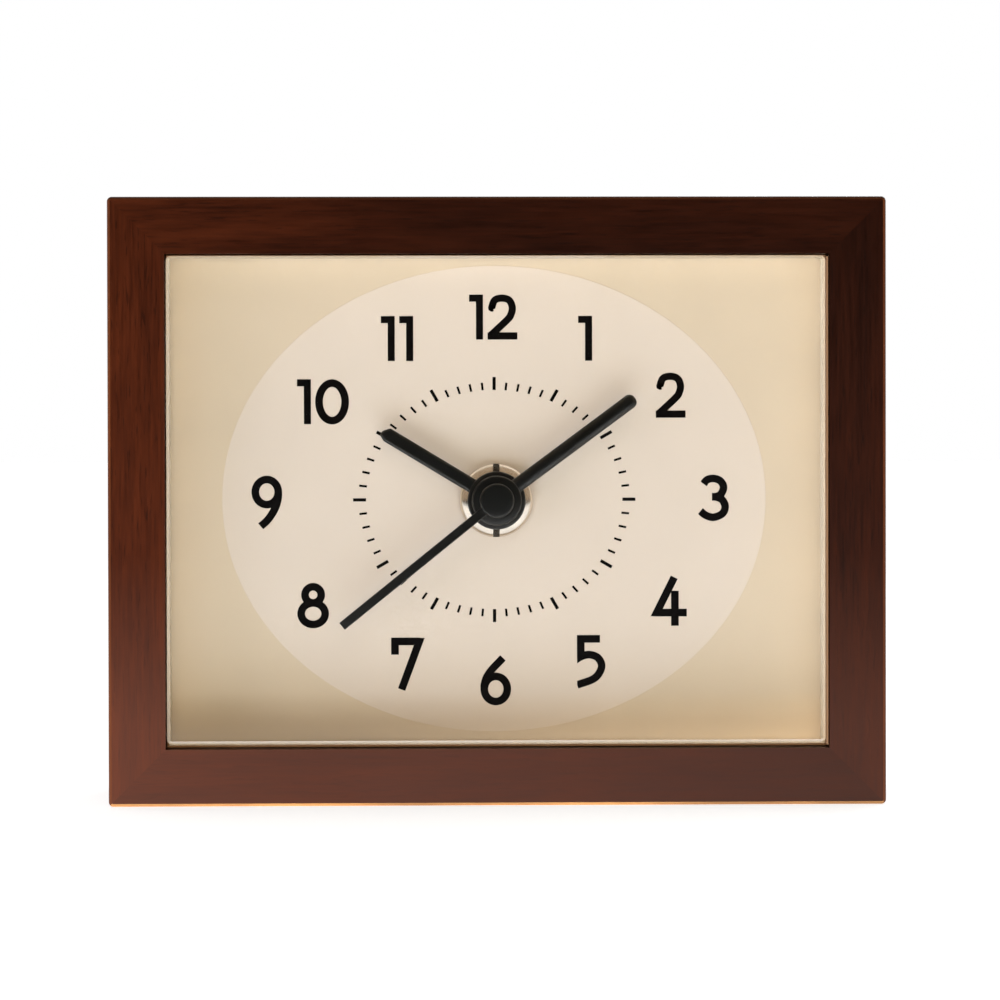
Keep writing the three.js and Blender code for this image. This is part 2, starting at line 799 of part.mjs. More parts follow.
const shaftFront = dialFront - secondShaftTop - caseFront;
const secondWheel = joined(
  turned([
    [0, shaftFront],
    [secondShaftRadius, shaftFront],
    [secondShaftRadius, bridgeFront - wheelGap],
    [pivotRadius, bridgeFront - wheelGap],
    [pivotRadius, pivotBack],
    [0, pivotBack],
  ], pipeSides),
  gear(thirdModule, trainPinionTeeth, secondPinionFront, secondPinionBack, secondPinionPhase),
  disc(secondShaftRadius + runningGap, secondPinionBack - pinionOverlap, secondWheelFront + pinionOverlap, pinSides),
  gear(secondModule, secondTeeth, secondWheelFront, secondWheelBack, secondPhase),
);
piece(movement, 'second_wheel', secondWheel, 'whitePlastic');

const thirdWheel = joined(
  turned([
    [0, caseWall + seatGap],
    [pivotRadius, caseWall + seatGap],
    [pivotRadius, centreWheelFront - pinionOverlap],
    [arborRadius, centreWheelFront - pinionOverlap],
    [arborRadius, bridgeFront - wheelGap],
    [pivotRadius, bridgeFront - wheelGap],
    [pivotRadius, pivotBack],
    [0, pivotBack],
  ], pinSides, thirdX, 0),
  gear(centreModule, trainPinionTeeth, centreWheelFront - pinionOverlap, centreWheelBack + pinionOverlap,
    thirdPinionPhase, thirdX, 0),
  gear(thirdModule, thirdTeeth, thirdWheelFront, thirdWheelBack, thirdPhase, thirdX, 0),
);
piece(movement, 'third_wheel', thirdWheel, 'whitePlastic');

const shaftBore = disc(minutePipeBore, shaftFront - overrun, bridgeBack, pipeSides);
const centreWheel = cut(
  joined(
    disc(minutePipeBore + collarWall, collarFront, collarBack, pipeSides),
    gear(centreModule, centreTeeth, centreWheelFront, centreWheelBack, centrePhase),
  ),
  shaftBore,
);
piece(movement, 'centre_wheel', centreWheel, 'brass');

// Motion work: cannon pinion, reverse wheel, hour wheel and the setting stem

const cannonPhase = 0;
const reversePhase = meshedPhase(cannonPhase, cannonTeeth, reverseTeeth, 0);
const stemPhase = meshedPhase(reversePhase, reverseTeeth, cannonTeeth, 0);
const reversePinionPhase = 0;
const hourPhase = meshedPhase(reversePinionPhase, reversePinionTeeth, hourTeeth, left);

const minutePipeFront = dialFront - minutePipeTop - caseFront;
const cannonPinion = cut(
  joined(
    disc(minutePipeRadius, minutePipeFront, cannonFront + pinionOverlap, pipeSides),
    gear(cannonModule, cannonTeeth, cannonFront, cannonBack, cannonPhase),
  ),
  shaftBore,
);
piece(movement, 'cannon_pinion', cannonPinion, 'brass');

const reverseWheel = cut(
  joined(
    gear(hourModule, reversePinionTeeth, hourWheelFront - seatGap, reverseWheelFront + pinionOverlap,
      reversePinionPhase, reverseX, 0),
    gear(cannonModule, reverseTeeth, reverseWheelFront, reverseWheelBack, reversePhase, reverseX, 0),
  ),
  disc(reversePostRadius + runningGap, caseWall, reversePostBack + overrun, pinSides, reverseX, 0),
);
piece(movement, 'reverse_wheel', reverseWheel, 'whitePlastic');

const hourPipeFront = dialFront - hourPipeTop - caseFront;
const hourWheel = cut(
  joined(
    disc(hourPipeRadius, hourPipeFront, hourWheelFront + pinionOverlap, pipeSides),
    gear(hourModule, hourTeeth, hourWheelFront, hourWheelBack, hourPhase),
  ),
  disc(hourPipeBore, hourPipeFront - overrun, hourWheelBack + overrun, pipeSides),
);
piece(movement, 'hour_wheel', hourWheel, 'whitePlastic');

function knobOutline() {
  const points = [];
  for (let i = 0; i < 2 * knobFlutes; i += 1) {
    const radius = i % 2 === 0 ? knobRadius : knobRadius - knobFluteDepth;
    const angle = Math.PI * i / knobFlutes;
    points.push([stemX + radius * Math.cos(angle), radius * Math.sin(angle)]);
  }
  return outlineOf(points);
}

const knobFront = caseDepth + knobStandOff;
const settingKnob = joined(
  turned([
    [0, caseWall + seatGap],
    [reversePostRadius, caseWall + seatGap],
    [reversePostRadius, cannonFront],
    [stemRadius, cannonFront],
    [stemRadius, knobFront + wheelGap],
    [0, knobFront + wheelGap],
  ], pinSides, stemX, 0),
  gear(cannonModule, cannonTeeth, cannonFront, cannonBack, stemPhase, stemX, 0),
  plate(knobOutline(), knobFront, knobFront + knobHeight),
);
piece(movement, 'setting_knob', settingKnob, 'caseBlack');

// Stepping motor

const statorBottom = rotorZ - statorBelowRotor;
const statorTop = rotorZ + statorAboveRotor;
const legTop = coilHeight + coreWidth / 2;
const statorSheet = cut(
  block(-statorReach, statorReach, statorFront, statorBack, statorBottom, legTop),
  block(
    statorLegWidth - statorReach,
    statorReach - statorLegWidth,
    statorFront - overrun,
    statorBack + overrun,
    statorTop,
    legTop + overrun,
  ),
  disc(magnetRadius + magnetGap, statorFront - overrun, statorBack + overrun, hubSides, 0, rotorZ),
  disc(postHole, statorFront - overrun, statorBack + overrun, pinSides, -upperPostSpread, upperPostHeight),
  disc(postHole, statorFront - overrun, statorBack + overrun, pinSides, upperPostSpread, upperPostHeight),
);
piece(movement, 'stator', statorSheet, 'steel');

const coreBack = statorFront - seatGap;
const coreFront = coreBack - coreThickness;
const coreBottom = coilHeight - coreWidth / 2;
const coilDepth = (coreFront + coreBack) / 2;
piece(movement, 'coil_core', block(-statorReach, statorReach, coreFront, coreBack, coreBottom, legTop), 'steel');

const coilHalf = coilLength / 2;
const coilProfile = [
  [0, -coilHalf],
  [coilFlangeRadius, -coilHalf],
  [coilFlangeRadius, coilFlangeThickness - coilHalf],
  [coilRadius, coilFlangeThickness - coilHalf],
  [coilRadius, coilHalf - coilFlangeThickness],
  [coilFlangeRadius, coilHalf - coilFlangeThickness],
  [coilFlangeRadius, coilHalf],
  [0, coilHalf],
];
const coilBlank = turnedGeometry(coilProfile, pipeSides).rotateZ(Math.PI / 2).translate(0, coilDepth, coilHeight);
const coilBore = block(
  -coilHalf - overrun,
  coilHalf + overrun,
  coreFront - coreGap,
  coreBack + coreGap,
  coreBottom - coreGap,
  legTop + coreGap,
);
piece(movement, 'coil', cut(solidFrom(coilBlank), coilBore), 'copper');

// Circuit board

const boardBlank = block(-boardLeft, boardWidth - boardLeft, boardFront, boardBack, -boardBottom, boardTop);
const boardHoles = boardPosts.map(([x, z]) => disc(
  boardPinRadius + postHoleGap,
  boardFront - overrun,
  boardBack + overrun,
  pinSides,
  x,
  z,
));
piece(movement, 'circuit_board', cut(boardBlank, ...boardHoles), 'board');

const chipFront = boardBack + seatGap;
const controlChip = turned([
  [0, chipFront],
  [chipRadius, chipFront],
  [chipRadius, chipFront + chipThickness / 2],
  [chipRadius / 2, chipFront + chipThickness],
  [0, chipFront + chipThickness],
], pinSides, boardMiddle, chipHeight);
piece(movement, 'control_chip', controlChip, 'rubber');

const crystalProfile = [
  [0, -crystalLength / 2],
  [crystalRadius, -crystalLength / 2],
  [crystalRadius, crystalLength / 2],
  [0, crystalLength / 2],
];
const crystalBody = turnedGeometry(crystalProfile, pinSides).rotateX(Math.PI / 2);
crystalBody.translate(boardMiddle, boardBack + seatGap + crystalRadius, crystalHeight);
piece(movement, 'quartz_crystal', solidFrom(crystalBody), 'steel');

// Battery with a contact at each end

const batteryZ = (bayBottom + bayTop) / 2;
const batteryRadius = batteryDiameter / 2;
const batteryDepth = caseWall + batteryGap + batteryRadius;
const batteryEnd = batteryLength / 2;
const batteryShoulder = batteryEnd - batteryNubHeight;
const batteryProfile = [
  [0, -batteryEnd],
  [batteryRadius - batteryBevel, -batteryEnd],
  [batteryRadius, batteryBevel - batteryEnd],
  [batteryRadius, batteryShoulder - batteryBevel],
  [batteryRadius - batteryBevel, batteryShoulder],
  [batteryNubRadius, batteryShoulder],
  [batteryNubRadius, batteryEnd],
  [0, batteryEnd],
];
const batteryBody = turnedGeometry(batteryProfile, hubSides).rotateZ(-Math.PI / 2);
batteryBody.translate(0, batteryDepth, batteryZ);
piece(movement, 'battery', solidFrom(batteryBody), 'battery');

const contactBack = pocketReach - seatGap;
const contactFace = contactBack - contactThickness;
const contactTouch = batteryEnd + contactTouchGap;
for (const [name, side] of [['contact_positive', 1], ['contact_negative', -1]]) {
  const strip = outlineOf([
    [contactBack, -contactLength / 2],
    [contactBack, contactLength / 2],
    [contactFace, contactLength / 2],
    [contactFace, contactLength / 4],
    [contactTouch, contactLength / 16],
    [contactTouch, -contactLength / 16],
    [contactFace, -contactLength / 4],
    [contactFace, -contactLength / 2],
  ]);
  const geometry = new THREE.ExtrudeGeometry(strip, { depth: contactWidth, bevelEnabled: false });
  geometry.translate(0, batteryDepth, batteryZ - contactWidth / 2);
  geometry.scale(side, 1, 1);
  piece(movement, name, solidFrom(geometry), 'nickel');
}

// Back panel and its screws

const panelX = frameWidth / 2 - rearRimWall - panelEdgeGap;
const panelZ = frameHeight / 2 - rearRimWall - panelEdgeGap;
const panelOutline = roundedRectangle(-panelX, panelX, -panelZ, panelZ, panelCornerRadius);
const windowReach = caseReach + windowEdgeGap;
const screwPlaces = [
  ['upper_left', -screwReach, screwRise],
  ['upper_right', screwReach, screwRise],
  ['lower_left', -screwReach, -screwRise],
  ['lower_right', screwReach, -screwRise],
];
const panelHoles = screwPlaces.map(([, x, z]) => disc(
  screwShankRadius + 2 * runningGap,
  panelFront - overrun,
  panelBack + overrun,
  pinSides,
  x,
  z,
));
const panelWindow = block(
  -windowReach,
  windowReach,
  panelFront - overrun,
  panelBack + overrun,
  -windowReach,
  windowReach,
);
piece(centre, 'back_panel', cut(plate(panelOutline, panelFront, panelBack), panelWindow, ...panelHoles), 'panel');

const headFront = panelBack + seatGap;
const headBack = headFront + screwHeadThickness;
const screwTip = headFront - screwLength;
for (const [corner, x, z] of screwPlaces) {
  const blank = turned([
    [0, screwTip],
    [screwShankRadius, screwTip + screwTipLength],
    [screwShankRadius, headFront],
    [screwHeadRadius, headFront],
    [screwHeadRadius, headBack - screwHeadBevel],
    [screwHeadRadius - screwHeadBevel, headBack],
    [0, headBack],
  ], pipeSides, x, z);
  const long = screwRecessLength / 2;
  const short = screwRecessWidth / 2;
  const floor = headBack - screwRecessDepth;
  const across = block(x - long, x + long, floor, headBack + overrun, z - short, z + short);
  const upright = block(x - short, x + short, floor, headBack + overrun, z - long, z + long);
  piece(centre, `panel_screw_${corner}`, cut(blank, across, upright), 'steel');
}

export default clock;
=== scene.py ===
import math

import bmesh
import bpy
from bpy.props import FloatProperty, FloatVectorProperty, IntProperty, PointerProperty
from mathutils import Matrix, Quaternion, Vector
from mathutils.geometry import interpolate_bezier


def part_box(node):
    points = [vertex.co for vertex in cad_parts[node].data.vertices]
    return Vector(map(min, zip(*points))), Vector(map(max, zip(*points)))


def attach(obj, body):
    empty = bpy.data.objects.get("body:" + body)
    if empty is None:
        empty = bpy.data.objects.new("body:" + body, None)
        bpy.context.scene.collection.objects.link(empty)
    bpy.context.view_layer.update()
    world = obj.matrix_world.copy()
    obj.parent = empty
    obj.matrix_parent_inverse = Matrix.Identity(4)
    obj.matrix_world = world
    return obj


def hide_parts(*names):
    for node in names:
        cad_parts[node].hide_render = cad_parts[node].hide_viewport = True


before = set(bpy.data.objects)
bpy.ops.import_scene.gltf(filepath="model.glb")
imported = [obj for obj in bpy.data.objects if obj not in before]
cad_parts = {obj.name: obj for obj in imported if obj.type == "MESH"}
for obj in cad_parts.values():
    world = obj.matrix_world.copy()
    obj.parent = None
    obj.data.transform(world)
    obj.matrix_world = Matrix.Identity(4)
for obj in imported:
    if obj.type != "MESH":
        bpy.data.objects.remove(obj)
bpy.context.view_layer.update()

bl_info = {
    "name": "Wooden Desk Clock",
    "version": (1, 0, 0),
    "blender": (4, 5, 0),
    "location": "3D View > Sidebar > Desk Clock",
    "description": "Builds the finished surfaces of a wooden desk clock round its construction model",
    "category": "Add Mesh",
}

MM = 0.001
WELD = 0.002 * MM

LEFT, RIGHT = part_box("frame_left")[0].x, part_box("frame_right")[1].x
FOOT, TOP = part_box("frame_bottom")[0].z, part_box("frame_top")[1].z
FRONT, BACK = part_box("frame_top")[0].y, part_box("frame_top")[1].y
AXIS_Z = (FOOT + TOP) / 2
DIAL_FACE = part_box("dial_plate")[0].y
HAND_AXIS = (0, AXIS_Z)
QUARTER_TURN = math.pi / 2


# Sizes and colours that a user can change


def length(name, text, value):
    return FloatProperty(name=name, description=text, default=value * MM, unit="LENGTH", precision=5)


def tilt(name, text, degrees):
    return FloatProperty(name=name, description=text, default=math.radians(degrees), subtype="ANGLE")


def count(name, text, value, least=1):
    return IntProperty(name=name, description=text, default=value, min=least)


def colour(name, text, value):
    return FloatVectorProperty(
        name=name, description=text, default=value, size=3, min=0, max=1, subtype="COLOR"
    )


class ClockRailSettings(bpy.types.PropertyGroup):
    outer_arris: length("Outer Arris", "Rounding of the outer edges of the rails", 0.5)
    inner_arris: length("Inner Arris", "Rounding of the edges round the opening", 0.3)
    corner_radius: length("Corner Radius", "Rounding of the four outer corners", 0.8)
    mitre_gap: length("Mitre Gap", "Width of the glue line in each mitre", 0.0)
    corner_steps: count("Corner Steps", "Flats in half of a corner", 4)
    arris_steps: count("Arris Steps", "Flats across a rounded edge", 4)


class ClockDialSettings(bpy.types.PropertyGroup):
    oval_width: length("Oval Width", "Width of the pale oval", 92.0)
    oval_height: length("Oval Height", "Height of the pale oval", 78.8)
    oval_up: length("Oval Up", "How far the oval lies above the middle of the numerals", 0.15)
    oval_thickness: length("Oval Thickness", "How far the pale oval stands off the plate", 0.07)
    ink_thickness: length("Ink Thickness", "Thickness of the printed ink", 0.03)
    stroke_width: length("Stroke Width", "Width of the strokes of the numerals", 1.3)
    track_width: length("Track Width", "Width of the oval that the minute marks start on", 43.4)
    track_height: length("Track Height", "Height of the oval that the minute marks start on", 37.1)
    hour_mark_length: length("Hour Mark Length", "Length of every fifth mark", 2.2)
    hour_mark_width: length("Hour Mark Width", "Width of every fifth mark", 0.55)
    minute_mark_length: length("Minute Mark Length", "Length of the fine marks", 1.3)
    minute_mark_width: length("Minute Mark Width", "Width of the fine marks", 0.38)
    print_right: length("Print Right", "How far the print lies to the right of the hands' axis", -0.29)
    print_up: length("Print Up", "How far the print lies above the hands' axis", 0.10)


class ClockHandSettings(bpy.types.PropertyGroup):
    width: length("Width", "Width of the hour and minute hands", 2.45)
    second_width: length("Second Width", "Width of the second hand", 1.5)
    thickness: length("Thickness", "Thickness of an arm", 0.8)
    crown: length("Crown", "How far the curve of an arm's top reaches in from each side", 1.05)
    second_crown: length("Second Crown", "The same for the second hand", 0.35)
    hub_edge: length("Hub Edge", "Rounding of the upper edge of a hub", 0.3)
    turn_steps: count("Turn Steps", "Flats round a turned form", 96, 24)


class ClockFinishSettings(bpy.types.PropertyGroup):
    wood_dark: colour("Wood Dark", "Dark grain under the varnish", (0.018, 0.0030, 0.0007))
    wood_light: colour("Wood Light", "Light grain under the varnish", (0.066, 0.0122, 0.0029))
    # Edge colours: rubbed varnish with painted light, brightest on the foot and darkest on the top
    wood_worn: colour("Wood Worn", "Rubbed varnish with a painted highlight on the upright edges", (0.17, 0.047, 0.014))
    wood_faded: colour("Wood Faded", "Rubbed varnish, darker as painted shade, on the upper edges", (0.07, 0.02, 0.006))
    wood_bare: colour("Wood Bare", "Nearly bare wood on the edges of the foot", (0.95, 0.47, 0.17))
    # Painted sheen near the foot
    wood_pale: colour("Wood Pale", "Painted sheen on the varnish near the foot", (0.24, 0.09, 0.058))
    plate: colour("Plate", "Beige of the dial plate", (0.70, 0.575, 0.440))
    oval: colour("Oval", "Cream of the pale oval", (0.759, 0.648, 0.562))
    card: colour("Card", "Cream of the spacer strips", (0.90, 0.82, 0.68))
    card_edge: colour("Card Edge", "Stained front edge of the strips", (0.30, 0.165, 0.09))
    ink: colour("Ink", "Ink of the numerals", (0.0035, 0.003, 0.003))
    hand: colour("Hand", "Black of the hands", (0.0042, 0.0043, 0.0040))


class ClockStageSettings(bpy.types.PropertyGroup):
    azimuth: tilt("Azimuth", "Turn of the camera to the right", -1.5)
    elevation: tilt("Elevation", "Height of the camera as an angle", 1.0)
    roll: tilt("Roll", "Tilt of the camera to the left", -0.11)
    distance: FloatProperty(name="Distance", description="Camera to the front", default=0.8, unit="LENGTH")
    focal_length: FloatProperty(name="Focal Length", description="Lens in millimetres", default=172.54)
    aim_right: length("Aim Right", "How far right of the middle the camera aims", 0.377)
    aim_up: length("Aim Up", "How far above the middle the camera aims", 0.22)


# Mesh helpers


def new_piece(bm, name, finish, nodes=(), body="clock", soft=True):
    """Writes a bmesh as one piece of the clock: it rides on a body and may stand for some nodes."""
    bmesh.ops.remove_doubles(bm, verts=bm.verts, dist=WELD)
    bmesh.ops.recalc_face_normals(bm, faces=bm.faces)
    mesh = bpy.data.meshes.new(name)
    bm.to_mesh(mesh)
    bm.free()
    mesh.materials.append(material_named(finish))
    piece = bpy.data.objects.new(name, mesh)
    bpy.context.scene.collection.objects.link(piece)
    if soft:
        mesh.shade_smooth()
        mesh.set_sharp_from_angle(angle=math.radians(38))
        weighted = piece.modifiers.new("Even Shading", "WEIGHTED_NORMAL")
        weighted.keep_sharp = True
        weighted.weight = 80
    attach(piece, body)
    if nodes:
        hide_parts(*nodes)
    return piece


def parts_of(result, kind):
    return [part for part in result["geom"] if isinstance(part, kind)]


def all_geometry(bm):
    return bm.verts[:] + bm.edges[:] + bm.faces[:]


def thicken(bm, face, vector):
    """Extrudes a face by a vector, leaves a closed block and returns the moved face."""
    grown = bmesh.ops.extrude_face_region(bm, geom=[face])
    bmesh.ops.translate(bm, verts=parts_of(grown, bmesh.types.BMVert), vec=vector)
    return parts_of(grown, bmesh.types.BMFace)


def round_edges(bm, edges, width, steps):
    """Rounds some edges and returns the new faces."""
    result = bmesh.ops.bevel(
        bm, geom=list(edges), offset=width, offset_type="OFFSET", segments=steps, profile=0.5,
        affect="EDGES", material=-1, clamp_overlap=True,
    )
    return result["faces"]


def slice_off(bm, point, normal):
    """Cuts away what lies beyond a plane and closes the cut."""
    bmesh.ops.bisect_plane(
        bm, geom=all_geometry(bm), dist=WELD, plane_co=point, plane_no=normal, clear_outer=True
    )
    open_edges = [e for e in bm.edges if e.is_boundary]
    bmesh.ops.holes_fill(bm, edges=open_edges, sides=0)


def block(bm, low, high):
    """A box between two corners."""
    low, high = Vector(low), Vector(high)
    place = Matrix.Translation((low + high) / 2) @ Matrix.Diagonal((high - low).to_4d())
    return bmesh.ops.create_cube(bm, size=1, matrix=place)["verts"]


def spun(bm, points, centre, axis, steps):
    """Spins a line of points all the way round an axis."""
    line = [bm.verts.new(point) for point in points]
    edges = [bm.edges.new(pair) for pair in zip(line, line[1:])]
    bmesh.ops.spin(
        bm, geom=line + edges, cent=centre, axis=axis, angle=math.tau, steps=steps, use_merge=True
    )
    bmesh.ops.remove_doubles(bm, verts=bm.verts, dist=WELD)


def turned(profile, centre, steps, bm=None):
    """Turns a profile of radius and depth round an axis along the depth."""
    if bm is None:
        bm = bmesh.new()
    x, z = centre
    spun(bm, [(x + radius, y, z) for radius, y in profile], (x, 0, z), (0, 1, 0), steps)
    return bm


def steps_from(radius, depth, steps):
    """Points of a profile, each at a step in millimetres from one radius and depth."""
    return [(radius + out * MM, depth + along * MM) for out, along in steps]


def copied_node(node):
    """A merged copy of a construction node's mesh."""
    bm = bmesh.new()
    bm.from_mesh(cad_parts[node].data)
    bmesh.ops.remove_doubles(bm, verts=bm.verts, dist=WELD)
    return bm


def sharp_edges(bm, least):
    """Edges between two faces that meet at more than some degrees."""
    limit = math.radians(least)
    return [e for e in bm.edges if len(e.link_faces) == 2 and e.calc_face_angle() > limit]


def edges_at(edges, depth):
    """Those edges that lie flat at some depth."""
    return [e for e in edges if all(abs(v.co.y - depth) < WELD for v in e.verts)]


def plate(low, high, corner, corner_steps, arris, arris_steps, back_arris=None):
    """A plate with rounded corners and rounded front and back edges."""
    bm = bmesh.new()
    block(bm, low, high)
    through = [e for e in bm.edges if abs(e.verts[0].co.y - e.verts[1].co.y) > WELD]
    round_edges(bm, through, corner, corner_steps)
    rims = sharp_edges(bm, 80)
    front, back = edges_at(rims, low[1]), edges_at(rims, high[1])
    round_edges(bm, front, arris, arris_steps)
    round_edges(bm, back, arris if back_arris is None else back_arris, arris_steps)
    return bm


def carve(bm, cutter, operation="DIFFERENCE"):
    """Cuts one bmesh by another, or joins them, and returns the result."""
    meshes = []
    for part in (bm, cutter):
        bmesh.ops.recalc_face_normals(part, faces=part.faces)
        mesh = bpy.data.meshes.new("carving")
        part.to_mesh(mesh)
        part.free()
        meshes.append(mesh)
    body, tool = (bpy.data.objects.new("carving", mesh) for mesh in meshes)
    for item in (body, tool):
        bpy.context.scene.collection.objects.link(item)
    modifier = body.modifiers.new("carve", "BOOLEAN")
    modifier.operation = operation
    modifier.solver = "EXACT"
    modifier.object = tool
    bpy.context.view_layer.update()
    result = bmesh.new()
    result.from_object(body, bpy.context.evaluated_depsgraph_get())
    for item, mesh in zip((body, tool), meshes):
        bpy.data.objects.remove(item)
        bpy.data.meshes.remove(mesh)
    return result


def drilled(bm, radius, centre, front, back, steps):
    """Drills a hole from the front to the back."""
    drill = [(0, front - MM), (radius, front - MM), (radius, back + MM), (0, back + MM)]
    return carve(bm, turned(drill, centre, steps))


# Shader nodes: a source is the output of another node or a plain value


class Nodes:
    """A node tree that is built node by node."""

    def __init__(self, tree):
        self.tree = tree
        tree.nodes.clear()

    def feed(self, socket, source):
        if isinstance(source, bpy.types.NodeSocket):
            self.tree.links.new(source, socket)
        else:
            socket.default_value = source

    def add(self, kind, sources=None, **values):
        """Adds a shader node, sets its properties and feeds its inputs."""
        node = self.tree.nodes.new(f"ShaderNode{kind}")
        for key, value in values.items():
            setattr(node, key, value)
        for socket, source in (sources or {}).items():
            self.feed(node.inputs[socket], source)
        return node

    def calc(self, operation, first, second, clamp=False):
        node = self.add("Math", {0: first, 1: second}, operation=operation, use_clamp=clamp)
        return node.outputs[0]

    def remap(self, value, low, high, new_low=0.0, new_high=1.0):
        """A value that runs from new_low to new_high while another runs from low to high."""
        sources = {0: value, 1: low, 2: high, 3: new_low, 4: new_high}
        return self.add("MapRange", sources, clamp=True).outputs[0]

    def mix(self, mask, first, second):
        """The first colour where a mask is 0 and the second where it is 1."""
        pair = [c if isinstance(c, bpy.types.NodeSocket) else (*c, 1) for c in (first, second)]
        return self.add("Mix", {0: mask, 6: pair[0], 7: pair[1]}, data_type="RGBA").outputs[2]

    def noise(self, vector, scale, detail, roughness=0.5):
        sources = {"Vector": vector, "Scale": scale, "Detail": detail, "Roughness": roughness}
        return self.add("TexNoise", sources).outputs["Fac"]

    def stretched(self, vector, scale):
        return self.add("VectorMath", {0: vector, 1: scale}, operation="MULTIPLY").outputs[0]

    def centred(self, vector, place, turn=(0, 0, 0)):
        """Coordinates measured from a place and turned."""
        sources = {"Vector": vector, "Location": place, "Rotation": turn}
        return self.add("Mapping", sources, vector_type="TEXTURE").outputs[0]

    def axes(self, vector):
        return self.add("SeparateXYZ", {0: vector}).outputs

    def group(self, make, **sources):
        """Places a shared group, which is built the first time."""
        if make not in GROUPS:
            GROUPS[make] = make()
        return self.add("Group", sources, node_tree=GROUPS[make]).outputs


GROUPS = {}


def node_group(name, masks, **values):
    """An empty group that reads a vector and some plain values and puts out masks."""
    tree = bpy.data.node_groups.new(name, "ShaderNodeTree")
    nodes = Nodes(tree)
    tree.interface.new_socket(name="Vector", in_out="INPUT", socket_type="NodeSocketVector")
    for socket, value in values.items():
        entry = tree.interface.new_socket(name=socket, in_out="INPUT", socket_type="NodeSocketFloat")
        entry.default_value = value
    for socket in masks:
        tree.interface.new_socket(name=socket, in_out="OUTPUT", socket_type="NodeSocketFloat")
    start, end = tree.nodes.new("NodeGroupInput"), tree.nodes.new("NodeGroupOutput")
    return nodes, start.outputs, end.inputs


def grain_group():
    """Wood grain along X: broad bands, fine fibres and short pores."""
    nodes, start, end = node_group("wood grain", ("Band", "Fibre", "Pore"))
    vector = start["Vector"]
    band = nodes.noise(nodes.stretched(vector, (9, 70, 70)), scale=4, detail=3, roughness=0.55)
    fibre = nodes.noise(nodes.stretched(vector, (20, 420, 420)), scale=6, detail=4, roughness=0.6)
    pore = nodes.noise(nodes.stretched(vector, (70, 900, 900)), scale=4, detail=1)
    nodes.feed(end["Band"], nodes.remap(band, 0.32, 0.68))
    nodes.feed(end["Fibre"], nodes.remap(fibre, 0.3, 0.7))
    nodes.feed(end["Pore"], nodes.remap(pore, 0.64, 0.72))
    return nodes.tree


def skin_group():
    """The mottle and fine orange-peel of a painted, printed or moulded surface."""
    nodes, start, end = node_group("moulded skin", ("Mottle", "Peel"), Scale=1.0)
    mottle, peel = (
        nodes.noise(start["Vector"], nodes.calc("MULTIPLY", start["Scale"], fineness), detail)
        for fineness, detail in ((90, 3), (2600, 2))
    )
    nodes.feed(end["Mottle"], nodes.remap(mottle, 0.3, 0.7))
    nodes.feed(end["Peel"], peel)
    return nodes.tree


def turning_group():
    """Fine rings round the Y axis through the origin, as a lathe leaves them, and smudges."""
    nodes, start, end = node_group("turning marks", ("Ring", "Smudge"), Rings=5000.0)
    flat = nodes.stretched(start["Vector"], (1, 0.2, 1))
    radius = nodes.add("VectorMath", {0: flat}, operation="LENGTH").outputs["Value"]
    rings = {"W": nodes.calc("MULTIPLY", radius, start["Rings"]), "Scale": 1, "Detail": 2}
    ring = nodes.add("TexNoise", rings, noise_dimensions="1D")
    nodes.feed(end["Ring"], ring.outputs["Fac"])
    smudge = nodes.noise(start["Vector"], scale=260, detail=3)
    nodes.feed(end["Smudge"], nodes.remap(smudge, 0.35, 0.7))
    return nodes.tree


class Surface(Nodes):
    """A material with one Principled shader on object coordinates; its plain values come by name."""

    def __init__(self, name, **values):
        self.material = bpy.data.materials.new(name)
        self.material.use_nodes = True
        super().__init__(self.material.node_tree)
        self.shader = self.add("BsdfPrincipled")
        self.output = self.add("OutputMaterial", {"Surface": self.shader.outputs[0]})
        self.where = self.add("TexCoord").outputs["Object"]
        for socket, value in values.items():
            self.paint(socket.replace("_", " "), value)

    def paint(self, socket, source):
        self.feed(self.shader.inputs[socket], source)

    def bump(self, height, strength, depth):
        """Raises the surface by a height, at a depth in millimetres."""
        sources = {"Height": height, "Strength": strength, "Distance": depth * MM}
        self.paint("Normal", self.add("Bump", sources).outputs[0])

    def skin(self, depth, scale=1.0):
        """Gives the surface its orange-peel and returns its mottle."""
        skin = self.group(skin_group, Vector=self.where, Scale=scale)
        self.bump(skin["Peel"], 0.25, depth)
        return skin["Mottle"]

    def overlay(self, mask, shader):
        """Shows another shader where a mask is 1."""
        both = self.add("MixShader", {0: mask, 1: self.shader.outputs[0], 2: shader.outputs[0]})
        self.feed(self.output.inputs["Surface"], both.outputs[0])


# Materials


def tinted(share, base):
    """A colour, or the setting of that name, times one share or times a share for each channel."""
    base = getattr(bpy.context.scene.clock_finish, base) if isinstance(base, str) else base
    shares = (share,) * 3 if isinstance(share, (int, float)) else share
    return [s * c for s, c in zip(shares, base)]


